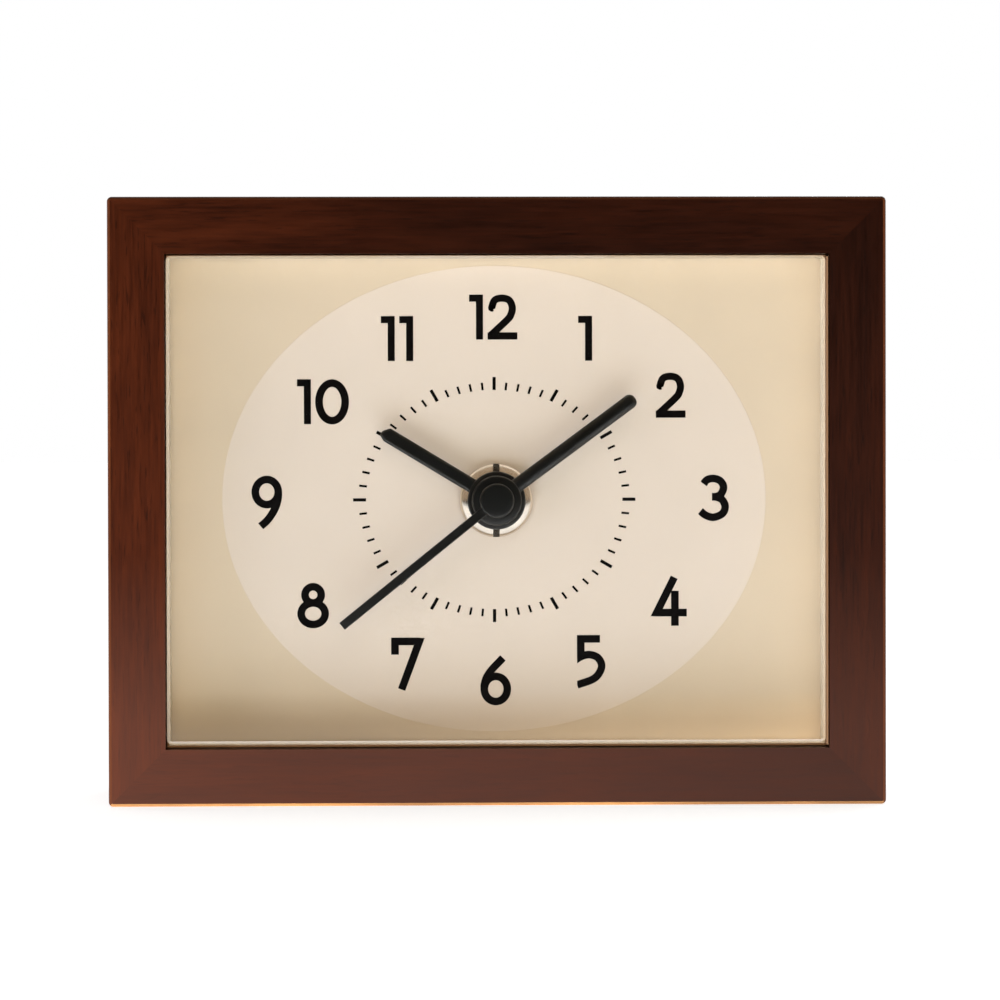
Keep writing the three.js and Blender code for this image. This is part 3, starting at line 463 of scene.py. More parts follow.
def varnished_wood(name, grain_axis, lit_and_shaded_tones, span, edge):
    """Dark stained wood under a satin varnish, with the grain; its tone changes along the rail as painted
    light from the lower left, with a painted sheen near the foot and rubbed edges that carry a painted
    highlight.
    """
    wood = Surface(name, Coat_Weight=0.1, Coat_Roughness=0.3, Specular_IOR_Level=0.3)
    turn = (0, QUARTER_TURN if grain_axis == "Z" else 0, 0)
    grain = wood.group(grain_group, Vector=wood.centred(wood.where, (0.013, 0.021, 0.037), turn))
    fibre, band, pore = grain["Fibre"], grain["Band"], grain["Pore"]
    fibres = wood.calc("MULTIPLY", fibre, 0.55)
    streaks = wood.calc("ADD", fibres, wood.calc("MULTIPLY", band, 0.45), clamp=True)
    place = wood.axes(wood.where)
    # Painted light: the tone changes along the rail, lighter towards the foot and the left, as if lit from
    # the lower left
    change = wood.remap(place[grain_axis], *span)
    ends = [wood.mix(streaks, tinted(tone, "wood_dark"), tinted(tone, "wood_light")) for tone in lit_and_shaded_tones]
    colouring = wood.mix(change, *ends)
    colouring = wood.mix(wood.calc("MULTIPLY", pore, 0.45), colouring, tinted(0.2, "wood_dark"))
    # Painted sheen: a paler colour towards the foot, stronger on the left, stands for light reflected from
    # below
    low = wood.remap(place["Z"], 42 * MM, 14 * MM)
    painted_sheen = wood.calc("MULTIPLY", low, wood.remap(place["X"], LEFT, RIGHT, 0.27, 0.13))
    colouring = wood.mix(painted_sheen, colouring, tinted(1, "wood_pale"))
    # Rounded outer edges: rubbed varnish along the grain, coloured per rail with a painted highlight that is
    # brightest on the foot
    arris = wood.add("Attribute", attribute_name="arris").outputs["Fac"]
    edge_wear_and_light = wood.calc("MULTIPLY", arris, wood.remap(band, 0, 1, 0.35, 0.8))
    wood.paint("Base Color", wood.mix(edge_wear_and_light, colouring, tinted(1, edge)))
    wood.paint("Roughness", wood.remap(fibre, 0, 1, 0.42, 0.54))
    wood.bump(wood.calc("SUBTRACT", fibre, pore), 0.12, 0.02)
    return wood.material


def clear_glass(name, base, rough, clearness):
    """Glass that lets light through to what lies behind it; a low clearness makes it milky."""
    glass = Surface(name, Transmission_Weight=clearness, IOR=1.5, Base_Color=(*base, 1))
    skin = glass.group(skin_group, Vector=glass.where, Scale=0.5)
    glass.paint("Roughness", glass.remap(skin["Mottle"], 0, 1, rough, rough + 0.015))
    shadow = glass.add("LightPath").outputs["Is Shadow Ray"]
    glass.overlay(shadow, glass.add("BsdfTransparent", {"Color": (0.98, 0.984, 0.976, 1)}))
    return glass.material


def spacer_card(name):
    """Cream card whose cut front edge is stained brown."""
    card = Surface(name, Roughness=0.6)
    mottled = card.mix(card.skin(0.004), tinted(0.92, "card"), tinted(1.08, "card"))
    stained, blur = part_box("surround_top")[0].y + 0.15 * MM, 0.05 * MM
    colouring = card.remap(card.axes(card.where)["Y"], stained, stained + blur, 1, 0)
    card.paint("Base Color", card.mix(colouring, mottled, tinted(1, "card_edge")))
    return card.material


def print_with_painted_shade(name, base, spread):
    """Matt print with painted shade along its lower left edge and painted light along its lower right."""
    ink = Surface(name, Roughness=0.5)
    mottle = ink.remap(ink.skin(0.003), 0, 1, 1 - spread, 1 + spread)
    place = ink.axes(ink.where)
    # Painted shade and light: near the foot the print turns darker to the left and paler to the right,
    # standing for the shadow of the bottom rail
    side = ink.remap(place["X"], -24 * MM, 51 * MM)
    low = ink.remap(place["Z"], 18.5 * MM, 10.5 * MM)
    edge = ink.mix(side, tinted((0.68, 0.62, 0.52), base), tinted((1.3, 1.24, 1.12), base))
    print_and_painted_shade = ink.mix(low, tinted(1, base), edge)
    scaled = ink.add("VectorMath", {0: print_and_painted_shade, "Scale": mottle}, operation="SCALE")
    ink.paint("Base Color", scaled.outputs[0])
    return ink.material


def moulded(name, base, rough, depth, spread, scale=1.0, gloss=0.5):
    """A painted or moulded surface: one colour with mottle and orange-peel."""
    skin = Surface(name, Specular_IOR_Level=gloss)
    mottle = skin.skin(depth, scale)
    skin.paint("Base Color", skin.mix(mottle, tinted(1 - spread, base), tinted(1 + spread, base)))
    skin.paint("Roughness", skin.remap(mottle, 0, 1, rough * 0.92, rough * 1.08))
    return skin.material


def metal(name, base, rough, centre=(0, 0, 0)):
    """A plated or bare metal with turning marks round a centre and light smudges."""
    bare = Surface(name, Metallic=1.0)
    marks = bare.group(turning_group, Vector=bare.centred(bare.where, centre))
    bare.paint("Base Color", bare.mix(marks["Smudge"], tinted(0.9, base), base))
    bare.paint("Roughness", bare.remap(marks["Ring"], 0.3, 0.7, rough * 0.85, rough * 1.25))
    bare.bump(marks["Ring"], 0.12, 0.01)
    return bare.material


def wound_copper(name):
    """Enamelled wire in close turns round the X axis."""
    wire = Surface(name, Metallic=0.85, Roughness=0.38)
    sources = {"Vector": wire.where, "Scale": 900, "Distortion": 0.6, "Detail": 1}
    turns = wire.add("TexWave", sources, wave_type="BANDS", bands_direction="X").outputs["Fac"]
    wire.paint("Base Color", wire.mix(turns, (0.26, 0.07, 0.02), (0.72, 0.27, 0.09)))
    wire.bump(turns, 0.6, 0.05)
    return wire.material


def solder_mask(name):
    """Green board with paler tracks under the lacquer."""
    board = Surface(name, Roughness=0.4, Coat_Weight=0.3)
    sources = {"Vector": board.centred(board.where, (0, 0, 0), (QUARTER_TURN, 0, 0)), "Scale": 260}
    tracks = board.add("TexBrick", sources, offset=0.35).outputs["Fac"]
    board.paint("Base Color", board.mix(tracks, (0.010, 0.075, 0.026), (0.03, 0.17, 0.06)))
    board.bump(tracks, 0.2, 0.03)
    return board.material


def battery_sleeve(name):
    """A printed sleeve in two plain colours, with a bare metal rim at each end."""
    sleeve = Surface(name, Coat_Weight=0.6, Coat_Roughness=0.15)
    mottle = sleeve.group(skin_group, Vector=sleeve.where)["Mottle"]
    along = sleeve.axes(sleeve.where)["X"]
    body = sleeve.mix(mottle, (0.030, 0.060, 0.105), (0.036, 0.070, 0.120))
    printed_colours = sleeve.mix(sleeve.remap(along, 13.2 * MM, 13.3 * MM), body, (0.52, 0.36, 0.16))
    rim = sleeve.calc("GREATER_THAN", sleeve.calc("ABSOLUTE", along, 0), 23.9 * MM)
    sleeve.paint("Base Color", sleeve.mix(rim, printed_colours, (0.62, 0.61, 0.59)))
    sleeve.paint("Metallic", rim)
    sleeve.paint("Roughness", sleeve.remap(mottle, 0, 1, 0.26, 0.34))
    return sleeve.material


def hardboard(name):
    """Dark pressed fibre board."""
    board = Surface(name, Roughness=0.8)
    fibres = board.noise(board.stretched(board.where, (900, 1, 1400)), scale=1, detail=6, roughness=0.7)
    brown = board.mix(board.remap(fibres, 0.35, 0.65), (0.012, 0.0075, 0.005), (0.034, 0.022, 0.015))
    blotch = board.remap(board.noise(board.where, scale=120, detail=3), 0.4, 0.7, 0, 0.3)
    board.paint("Base Color", board.mix(blotch, brown, (0.05, 0.034, 0.024)))
    board.bump(fibres, 0.4, 0.04)
    return board.material


# Wood: the axis of the grain, the tone at both ends, which carries painted light from the lower left, where
# it changes, and the colour of the rubbed edges, which carries a painted highlight.
# Glass: colour, roughness and clearness. Print: colour and mottle, under painted shade at the lower left.
# Metal: colour, roughness and centre.
# Moulding: colour, roughness, depth of the peel in millimetres, mottle, scale and gloss.

FINISHES = {
    # The rails' tones are painted light: the left rail and the lower left ends lighter, the right rail and
    # the upper right ends darker
    "wood_top": (varnished_wood, "X", (1.15, 0.48), (-0.06, -0.005), "wood_faded"),
    "wood_bottom": (varnished_wood, "X", (0.95, 0.38), (-0.06, 0.06), "wood_bare"),
    "wood_right": (varnished_wood, "Z", (0.68, 0.40), (0.01, 0.09), "wood_worn"),
    "wood_left": (varnished_wood, "Z", (1.45, 1.3), (0.01, 0.09), "wood_worn"),
    "clear_glass": (clear_glass, (0.993, 1.0, 0.99), 0.0, 1.0),
    "ground_glass": (clear_glass, (1.0, 0.92, 0.82), 0.25, 0.58),
    "spacer_card": (spacer_card,),
    "plate_paint": (print_with_painted_shade, "plate", 0.02),
    "oval_paint": (print_with_painted_shade, "oval", 0.012),
    "black_ink": (moulded, "ink", 0.6, 0.004, 0.3, 6.0, 0.05),
    "hand_black": (moulded, "hand", 0.3, 0.004, 0.15, 2.0, 0.75),
    "nickel_plate": (metal, (0.94, 0.86, 0.78), 0.16, (0, 0, AXIS_Z)),
    "screw_steel": (metal, (0.56, 0.55, 0.53), 0.32),
    "sheet_steel": (metal, (0.50, 0.50, 0.49), 0.38),
    "spring_nickel": (metal, (0.70, 0.66, 0.58), 0.28),
    "turned_brass": (metal, (0.77, 0.53, 0.22), 0.3, (0, 0, AXIS_Z)),
    "ferrite": (moulded, (0.035, 0.033, 0.034), 0.55, 0.01, 0.3),
    "gasket_rubber": (moulded, (0.016, 0.016, 0.016), 0.85, 0.02, 0.3),
    "case_plastic": (moulded, (0.017, 0.0175, 0.019), 0.5, 0.02, 0.12, 1.4),
    "knob_plastic": (moulded, (0.014, 0.014, 0.015), 0.38, 0.006, 0.12, 1.4),
    "nylon_white": (moulded, (0.78, 0.76, 0.69), 0.45, 0.006, 0.04),
    "epoxy_black": (moulded, (0.008, 0.008, 0.008), 0.2, 0.02, 0.3),
    "wound_copper": (wound_copper,),
    "solder_mask": (solder_mask,),
    "battery_sleeve": (battery_sleeve,),
    "hardboard": (hardboard,),
}

MATERIALS = {}


def material_named(name):
    """One of the clock's materials, made the first time that it is asked for."""
    if name not in MATERIALS:
        make, *values = FINISHES[name]
        MATERIALS[name] = make(name, *values)
    return MATERIALS[name]


# Frame


def rail_section():
    """Corners of a rail's section: how far inward from its outer side, and the depth.

    The section stays 0.1 to 0.2 mm clear of the strips, the dial and the back panel.
    """
    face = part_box("surround_left")[0].x - LEFT - 0.15 * MM
    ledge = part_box("frame_left")[1].x - LEFT
    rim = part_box("back_panel")[0].x - LEFT - 0.2 * MM
    ledge_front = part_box("dial_plate")[1].y + 0.1 * MM
    ledge_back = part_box("back_panel")[0].y - 0.1 * MM
    return [
        (0, FRONT), (face, FRONT), (face, ledge_front), (ledge, ledge_front), (ledge, ledge_back),
        (rim, ledge_back), (rim, BACK), (0, BACK),
    ]


def corner_planes(settings, reach):
    """Planes that round the outer corner at one end of a rail up to the mitre."""
    radius, steps = settings.corner_radius, settings.corner_steps
    for step in range(steps):
        angle = math.radians(45) * (step + 0.5) / steps
        normal = Vector((math.sin(angle), 0, -math.cos(angle)))
        yield Vector((reach - radius, 0, radius)) + radius * normal, normal


def rail(settings, along, place):
    """A mitred rail: built along X with its outer side down, then put in its place."""
    section = rail_section()
    face, rim = section[1][0], section[-2][0]
    reach = along / 2
    bm = bmesh.new()
    start = bm.faces.new([bm.verts.new((-reach, y, inward)) for inward, y in section])
    thicken(bm, start, (along, 0, 0))
    mitre = reach - settings.mitre_gap / math.sqrt(2)
    for side in (-1, 1):
        slice_off(bm, (side * mitre, 0, 0), (side, 0, 1))
        for point, normal in corner_planes(settings, reach):
            slice_off(bm, (side * point.x, 0, point.z), (side * normal.x, 0, normal.z))
    edge_wear_and_light = bm.faces.layers.float.new("arris")
    outer, inner = [], []
    for edge in bm.edges:
        ends = [v.co for v in edge.verts]
        on_front, on_back = (all(abs(p.y - y) < WELD for p in ends) for y in (FRONT, BACK))
        mitred = all(abs(abs(p.x) + p.z - mitre) < WELD for p in ends)
        if mitred or not (on_front or on_back):
            continue
        height = (ends[0].z + ends[1].z) / 2
        at_opening = abs(height - (face if on_front else rim)) < WELD
        (inner if at_opening else outer).append(edge)
    # These edges get the rubbed varnish and its painted highlight
    for rounded in round_edges(bm, outer, settings.outer_arris, settings.arris_steps):
        rounded[edge_wear_and_light] = 1.0
    inner = [e for e in inner if e.is_valid]
    round_edges(bm, inner, settings.inner_arris, settings.arris_steps)
    bmesh.ops.transform(bm, matrix=place, verts=bm.verts)
    return bm


class CLOCK_OT_rails(bpy.types.Operator):
    """Builds the four mitred rails of the frame"""

    bl_idname = "clock.rails"
    bl_label = "Frame Rails"

    def execute(self, context):
        settings = context.scene.clock_rails
        width, height = RIGHT - LEFT, TOP - FOOT
        sides = {
            "bottom": (width, 0, (0, 0, FOOT)),
            "top": (width, 180, (0, 0, TOP)),
            "left": (height, 90, (LEFT, 0, AXIS_Z)),
            "right": (height, -90, (RIGHT, 0, AXIS_Z)),
        }
        for side, (along, turn, outer) in sides.items():
            place = Matrix.Translation(outer) @ Matrix.Rotation(math.radians(turn), 4, "Y")
            bm = rail(settings, along, place)
            new_piece(bm, f"rail_{side}", f"wood_{side}", [f"frame_{side}"])
        return {"FINISHED"}


# Glass and spacer strips


class CLOCK_OT_glass(bpy.types.Operator):
    """Builds the glass pane with its ground edges"""

    bl_idname = "clock.glass"
    bl_label = "Glass Pane"

    def execute(self, context):
        low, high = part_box("glass_pane")
        # The pane's outline differs a little from its node's, to leave the narrow gap round the glass
        low_shift, high_shift = Vector((-0.12, 0, 0.52)) * MM, Vector((-0.24, 0, 0)) * MM
        low, high = low + low_shift, high + high_shift
        bm = plate(
            low, high, corner=0.8 * MM, corner_steps=6, arris=0.5 * MM, arris_steps=1, back_arris=0.1 * MM
        )
        bm.normal_update()
        for face in bm.faces:
            face.material_index = 0 if abs(face.normal.y) > 0.9 else 1
        pane = new_piece(bm, "pane", "clear_glass", ["glass_pane"], soft=False)
        pane.data.materials.append(material_named("ground_glass"))
        return {"FINISHED"}


class CLOCK_OT_spacers(bpy.types.Operator):
    """Builds the four strips that hold the dial away from the glass"""

    bl_idname = "clock.spacers"
    bl_label = "Spacer Strips"

    def execute(self, context):
        left, front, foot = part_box("surround_bottom")[0]
        right, back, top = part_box("surround_top")[1]
        thin = 0.35 * MM
        # The right strip reaches forward past the glass, almost to the front of the frame
        forward = FRONT + 0.4 * MM
        strips = {
            "top": ((left, front, top - thin), (right, back, top)),
            "bottom": ((left, front, foot), (right, back, foot + thin)),
            "left": ((left, front, foot + thin), (left + thin, back, top - thin)),
            "right": ((right - thin, forward, foot + thin), (right, back, top - thin)),
        }
        for side, (low, high) in strips.items():
            bm = bmesh.new()
            block(bm, low, high)
            round_edges(bm, bm.edges, 0.08 * MM, 2)
            new_piece(bm, f"spacer_{side}", "spacer_card", [f"surround_{side}"])
        return {"FINISHED"}


# Dial


def print_place(settings, y):
    """The middle of the print at some depth."""
    return Vector((settings.print_right, y, AXIS_Z + settings.print_up))


def stood_up(place, width, height):
    """Lays a flat drawing on the dial at a place, at some width and height."""
    upright = Matrix.Rotation(QUARTER_TURN, 4, "X")
    return Matrix.Translation(place) @ upright @ Matrix.Diagonal((width, height, MM, 1))


class CLOCK_OT_dial(bpy.types.Operator):
    """Builds the dial plate and the pale oval on it"""

    bl_idname = "clock.dial"
    bl_label = "Dial Plate"

    def execute(self, context):
        settings = context.scene.clock_dial
        low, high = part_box("dial_plate")
        bore, bore_steps = 4.2 * MM, 64
        bm = plate(low, high, corner=0.5 * MM, corner_steps=4, arris=0.15 * MM, arris_steps=2)
        bm = drilled(bm, bore, HAND_AXIS, low.y, high.y, bore_steps)
        new_piece(bm, "dial_sheet", "plate_paint", ["dial_plate"])
        bm = bmesh.new()
        middle = print_place(settings, DIAL_FACE) + Vector((0, 0, settings.oval_up))
        lay = stood_up(middle, settings.oval_width, settings.oval_height)
        ring = bmesh.ops.create_circle(bm, cap_ends=True, radius=0.5, segments=192, matrix=lay)
        thickness = settings.oval_thickness
        top = thicken(bm, ring["verts"][0].link_faces[0], (0, -thickness, 0))
        round_edges(bm, [e for f in top for e in f.edges], thickness * 0.7, 2)
        bm = drilled(bm, bore, HAND_AXIS, DIAL_FACE - thickness, DIAL_FACE, bore_steps)
        new_piece(bm, "dial_oval", "oval_paint")
        return {"FINISHED"}


# Numerals: each stroke is a line, a smooth curve through points or an oval, in millimetres from the
# numeral's lower left corner. A cut is a point and the side that is taken off.

STROKES = {
    "0": [("oval", (2.81, 3.77), (2.21, 3.17))],
    "1": [("line", [(1.76, 0), (1.76, 7.6)]), ("line", [(0, 7.0), (2.35, 7.0)])],
    "2": [
        ("curve", [(0.72, 5.3), (0.72, 5.41), (1.22, 6.64), (2.45, 7.0), (3.68, 6.62), (4.19, 5.4),
                   (3.97, 4.25), (3.27, 3.26), (-0.35, -0.1)], [((0, 0), (-1, 0)), ((0, 0), (0, -1))]),
        ("line", [(0, 0.6), (5.05, 0.6)]),
    ],
    "3": [
        ("curve", [(0.95, 6.25), (1.5, 6.93), (2.6, 7.18), (3.75, 6.78), (4.33, 5.75), (3.9, 4.55),
                   (3.1, 4.12), (2.36, 4.08)]),
        ("curve", [(2.36, 4.08), (3.1, 4.03), (4.1, 3.55), (4.6, 2.4), (4.1, 1.2), (2.6, 0.6),
                   (1.3, 0.95), (0.4, 1.66)]),
    ],
    "4": [
        ("line", [(3.9, 8.22), (0.2, 0.82)], [((0, 1.62), (0, -1))]),
        ("line", [(0.5, 2.23), (6.02, 2.23)]),
        ("line", [(4.0, 0), (4.0, 5.92)]),
    ],
    "5": [
        ("line", [(0.14, 8.4), (4.02, 8.4)]),
        ("line", [(0.76, 4.95), (0.76, 9.0)]),
        ("curve", [(-0.3, 4.72), (0.6, 5.3), (1.5, 5.63), (2.45, 5.7), (3.65, 5.2), (4.3, 3.95),
                   (3.85, 2.55), (2.7, 1.5), (0.14, 0.6)], [((0.14, 0), (-1, 0))]),
    ],
    "6": [
        ("oval", (2.57, 2.74), (1.95, 2.13)),
        ("curve", [(3.79, 8.0), (2.0, 6.12), (1.1, 4.85), (0.66, 3.6), (0.62, 2.74)]),
    ],
    "7": [
        ("line", [(0, 8.3), (4.95, 8.3)]),
        ("line", [(0.64, 6.06), (0.64, 8.3)]),
        ("line", [(1.75, 0.15), (5.2, 9.48)], [((0, 8.88), (0, 1))]),
    ],
    "8": [("oval", (2.64, 5.61), (1.37, 1.37)), ("oval", (2.64, 2.42), (2.03, 1.82))],
    "9": [
        ("oval", (2.54, 6.25), (1.94, 2.12)),
        ("curve", [(4.48, 6.25), (4.44, 5.2), (4.05, 3.75), (3.35, 2.45), (2.5, 1.35), (1.5, 0.46)]),
    ],
}

# Share of the full stroke width in the digits that are drawn a little lighter

LIGHT_STROKES = {"1": 0.92, "2": 0.94}

# Lower left corner of each numeral from the middle of the print, in millimetres

NUMERALS = {
    "1": (14.25, 23.46), "2": (27.38, 13.81), "3": (34.53, -3.69), "4": (26.58, -21.46),
    "5": (13.84, -32.04), "6": (-2.38, -34.82), "7": (-17.51, -32.28), "8": (-33.33, -21.66),
    "9": (-41.01, -4.89), "10": (-33.33, 12.81), "11": (-19.14, 23.46), "12": (-4.21, 27.08),
}

DIGIT_STEP = 3.12


def smooth_path(points, steps=8):
    """A curve through some points, whose slope at each follows its neighbours."""
    points = [Vector((*p, 0)) for p in points]
    last = len(points) - 1
    slopes = [
        (points[min(i + 1, last)] - points[max(i - 1, 0)]) / (2 if 0 < i < last else 1)
        for i in range(len(points))
    ]
    path = []
    for i in range(last):
        start, end = points[i], points[i + 1]
        handles = start + slopes[i] / 3, end - slopes[i + 1] / 3
        path += interpolate_bezier(start, *handles, end, steps + 1)[:-1]
    return path + [points[-1]]


def stroke_path(kind, data):
    """The points that a stroke runs through."""
    if kind == "curve":
        return smooth_path(data[0])
    if kind == "line":
        return [Vector((*p, 0)) for p in data[0]]
    (x, z), (across, up) = data
    turns = [math.tau * i / 64 for i in range(65)]
    return [Vector((x + across * math.cos(t), z + up * math.sin(t), 0)) for t in turns]


def ribbon(bm, path, width):
    """Draws a flat stroke by pulling the edge of a nib along a path."""
    runs = [after - before for before, after in zip(path, path[1:])]
    closed = (path[0] - path[-1]).length < WELD / MM
    first, last = (runs[-1], runs[0]) if closed else (runs[0], runs[-1])
    joints = zip([first, *runs], [*runs, last])
    headings = [(before.normalized() + after.normalized()).normalized() for before, after in joints]
    across = Vector((-headings[0].y, headings[0].x, 0)) * width / 2
    edge = bm.edges.new([bm.verts.new(path[0] + across), bm.verts.new(path[0] - across)])
    for i, run in enumerate(runs):
        grown = bmesh.ops.extrude_edge_only(bm, edges=[edge])
        nib = parts_of(grown, bmesh.types.BMVert)
        bmesh.ops.translate(bm, verts=nib, vec=run)
        turn = headings[i].to_2d().angle_signed(headings[i + 1].to_2d(), 0)
        bmesh.ops.rotate(bm, cent=path[i + 1], matrix=Matrix.Rotation(-turn, 3, "Z"), verts=nib)
        edge = next(e for e in parts_of(grown, bmesh.types.BMEdge) if set(e.verts) == set(nib))


def ink_stroke(kind, data, width, height):
    """One stroke of a numeral as a thin closed solid, drawn flat in millimetres."""
    cuts = data[-1] if kind != "oval" and len(data) > 1 else []
    bm = bmesh.new()
    ribbon(bm, stroke_path(kind, data), width)
    bmesh.ops.remove_doubles(bm, verts=bm.verts, dist=WELD / MM)
    for point, normal in cuts:
        bmesh.ops.bisect_plane(
            bm, geom=all_geometry(bm), plane_co=(*point, 0), plane_no=(*normal, 0), clear_outer=True
        )
    grown = bmesh.ops.extrude_face_region(bm, geom=bm.faces[:] + bm.edges[:], use_keep_orig=True)
    bmesh.ops.translate(bm, verts=parts_of(grown, bmesh.types.BMVert), vec=(0, 0, height))
    return bm


def add_to(bm, part):
    """Moves the content of one bmesh into another."""
    mesh = bpy.data.meshes.new("part")
    part.to_mesh(mesh)
    part.free()
    bm.from_mesh(mesh)
    bpy.data.meshes.remove(mesh)


class CLOCK_OT_numerals(bpy.types.Operator):
    """Prints the twelve numerals"""

    bl_idname = "clock.numerals"
    bl_label = "Numerals"

    def execute(self, context):
        settings = context.scene.clock_dial
        paper = print_place(settings, DIAL_FACE - settings.oval_thickness)
        # The strokes of a digit overlap, so each stands a little taller than the one before it
        overlap_step = 0.002
        for text, (x, z) in NUMERALS.items():
            bm = bmesh.new()
            for place, digit in enumerate(text):
                width = settings.stroke_width / MM * LIGHT_STROKES.get(digit, 1)
                for level, (kind, *data) in enumerate(STROKES[digit]):
                    height = settings.ink_thickness / MM + overlap_step * level
                    stroke = ink_stroke(kind, data, width, height)
                    bmesh.ops.translate(stroke, verts=stroke.verts, vec=(place * DIGIT_STEP, 0, 0))
                    add_to(bm, stroke)
            lay = stood_up(paper + Vector((x, 0, z)) * MM, MM, MM)
            bmesh.ops.transform(bm, matrix=lay, verts=bm.verts)
            new_piece(bm, f"numeral_{text}", "black_ink", soft=False)
        return {"FINISHED"}


class CLOCK_OT_minute_track(bpy.types.Operator):
    """Prints the oval track of sixty minute marks"""

    bl_idname = "clock.minute_track"
    bl_label = "Minute Track"

    def execute(self, context):
        settings = context.scene.clock_dial
        stand = DIAL_FACE - settings.oval_thickness
        sizes = {
            True: (settings.hour_mark_length, settings.hour_mark_width / 2),
            False: (settings.minute_mark_length, settings.minute_mark_width / 2),
        }
        bm = bmesh.new()
        for minute in range(60):
            angle = math.tau * minute / 60
            across = math.sin(angle) / (settings.track_width / 2)
            up = math.cos(angle) / (settings.track_height / 2)
            start = 1 / math.hypot(across, up)
            reach, half = sizes[minute % 5 == 0]
            mark = block(bm, (-half, stand - settings.ink_thickness, start), (half, stand, start + reach))
            spin = Matrix.Translation(print_place(settings, 0)) @ Matrix.Rotation(angle, 4, "Y")
            bmesh.ops.transform(bm, matrix=spin, verts=mark)
        new_piece(bm, "minute_track", "black_ink", soft=False)
        return {"FINISHED"}


# Nut, washer and hands


class CLOCK_OT_nut(bpy.types.Operator):
    """Builds the slotted round nut and its washer"""

    bl_idname = "clock.nut"
    bl_label = "Nut and Washer"

    def execute(self, context):
        steps = context.scene.clock_hands.turn_steps
        low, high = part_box("dial_nut")
        outer, bore = (high.x - low.x) / 2, 4.1 * MM
        seat = steps_from(outer, high.y, [(-0.1, 0), (0, -0.1)])
        crown = steps_from(outer, low.y, [(0, 1), (-0.1, 0.8), (-0.6, 0.45), (-1.25, 0.08), (-1.45, 0)])
        mouth = steps_from(bore, low.y, [(0.25, 0), (0, 0.25)])
        bm = turned([(bore, high.y), *seat, *crown, *mouth, (bore, high.y)], HAND_AXIS, steps)
        slots = bmesh.new()
        slot_half, slot_depth = 0.55 * MM, 1.1 * MM
        for side in (-1, 1):
            start, end = sorted((AXIS_Z + side * 3 * MM, AXIS_Z + side * 8 * MM))
            block(slots, (-slot_half, low.y - MM, start), (slot_half, low.y + slot_depth, end))
        new_piece(carve(bm, slots), "spanner_nut", "nickel_plate", ["dial_nut"])
        low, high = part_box("nut_washer")
        outer, bore = (high.x - low.x) / 2, 4.2 * MM
        edges = steps_from(outer, high.y, [(-0.08, 0), (0, -0.08)])
        edges += steps_from(outer, low.y, [(0, 0.08), (-0.08, 0)])
        bm = turned([(bore, high.y), *edges, (bore, low.y), (bore, high.y)], HAND_AXIS, steps)
        new_piece(bm, "flat_washer", "nickel_plate", ["nut_washer"])
        return {"FINISHED"}


def hub(steps, bore, radius, bottom, top, edge, closed):
    """A turned hub with a rounded upper edge, and a bore or a blind socket under a shallow face."""
    rise = [(radius, bottom), (radius, top + edge)]
    for angle in (0.5, 1.05):
        rise.append((radius - edge * (1 - math.cos(angle)), top + edge * (1 - math.sin(angle))))
    rise.append((radius - edge, top))
    if closed:
        middle, dip = (bottom + top) / 2, top + 0.012 * MM
        socket = [(0, middle), (bore, middle), (bore, bottom)]
        profile = socket + rise + [(radius - 4 * edge, dip), (0, dip)]
    else:
        lip = 0.12 * MM
        profile = [(bore, bottom)] + rise + [(bore + lip, top), (bore, top + lip), (bore, bottom)]
    return turned(profile, HAND_AXIS, steps)


def arm(outline, corners, bottom, thickness, crown):
    """A moulded arm that points up, with a low crown: rounded while it is thick, then pressed flat."""
    bm = bmesh.new()
    points = [bm.verts.new((x, 0, z)) for x, z in outline]
    bm.faces.new(points)
    for index, radius, steps in corners:
        bmesh.ops.bevel(
            bm, geom=[points[index]], offset=radius, offset_type="OFFSET", segments=steps, profile=0.5,
            affect="VERTICES", material=-1,
        )
    bm.faces.ensure_lookup_table()
    tall = crown * 1.35
    upper = thicken(bm, bm.faces[0], (0, -tall, 0))
    round_edges(bm, {e for f in upper for e in f.edges}, crown, 8)
    press = Matrix.Translation((0, bottom, 0)) @ Matrix.Diagonal((1, thickness / tall, 1, 1))
    bmesh.ops.transform(bm, matrix=press, verts=bm.verts)
    return bm


# Angle in degrees clockwise from twelve, and in millimetres the radii of the hub and its bore and the
# start of the arm. The tip's points lie across and along from the axis. Of the arm's corners, which start
# with the two at the hub, the listed ones are rounded, each with a radius and a number of steps.

HAND_ROWS = {
    "hour": {
        "angle": 301.1, "hub": 4.9, "bore": 2.6, "root": 2.7,
        "tip": [(1.225, 21.62), (0.1, 22.56), (-0.62, 22.56), (-1.225, 21.5)],
        "rounded": [(2, 0.25, 3), (3, 0.3, 3), (4, 0.3, 3), (5, 0.3, 3)],
    },
    "minute": {
        "angle": 53.5, "hub": 4.2, "bore": 1.7, "root": 1.8,
        "tip": [(1.225, 29.0), (-1.225, 29.0)],
        "rounded": [(2, 1.1, 10), (3, 1.1, 10)],
    },
    "second": {
        "angle": 231.1, "hub": 2.9, "bore": 0.6, "root": 1.45,
        "tip": [(0.75, 33.5), (-0.75, 33.5)],
        "rounded": [(2, 0.15, 3), (3, 0.15, 3)],
    },
}


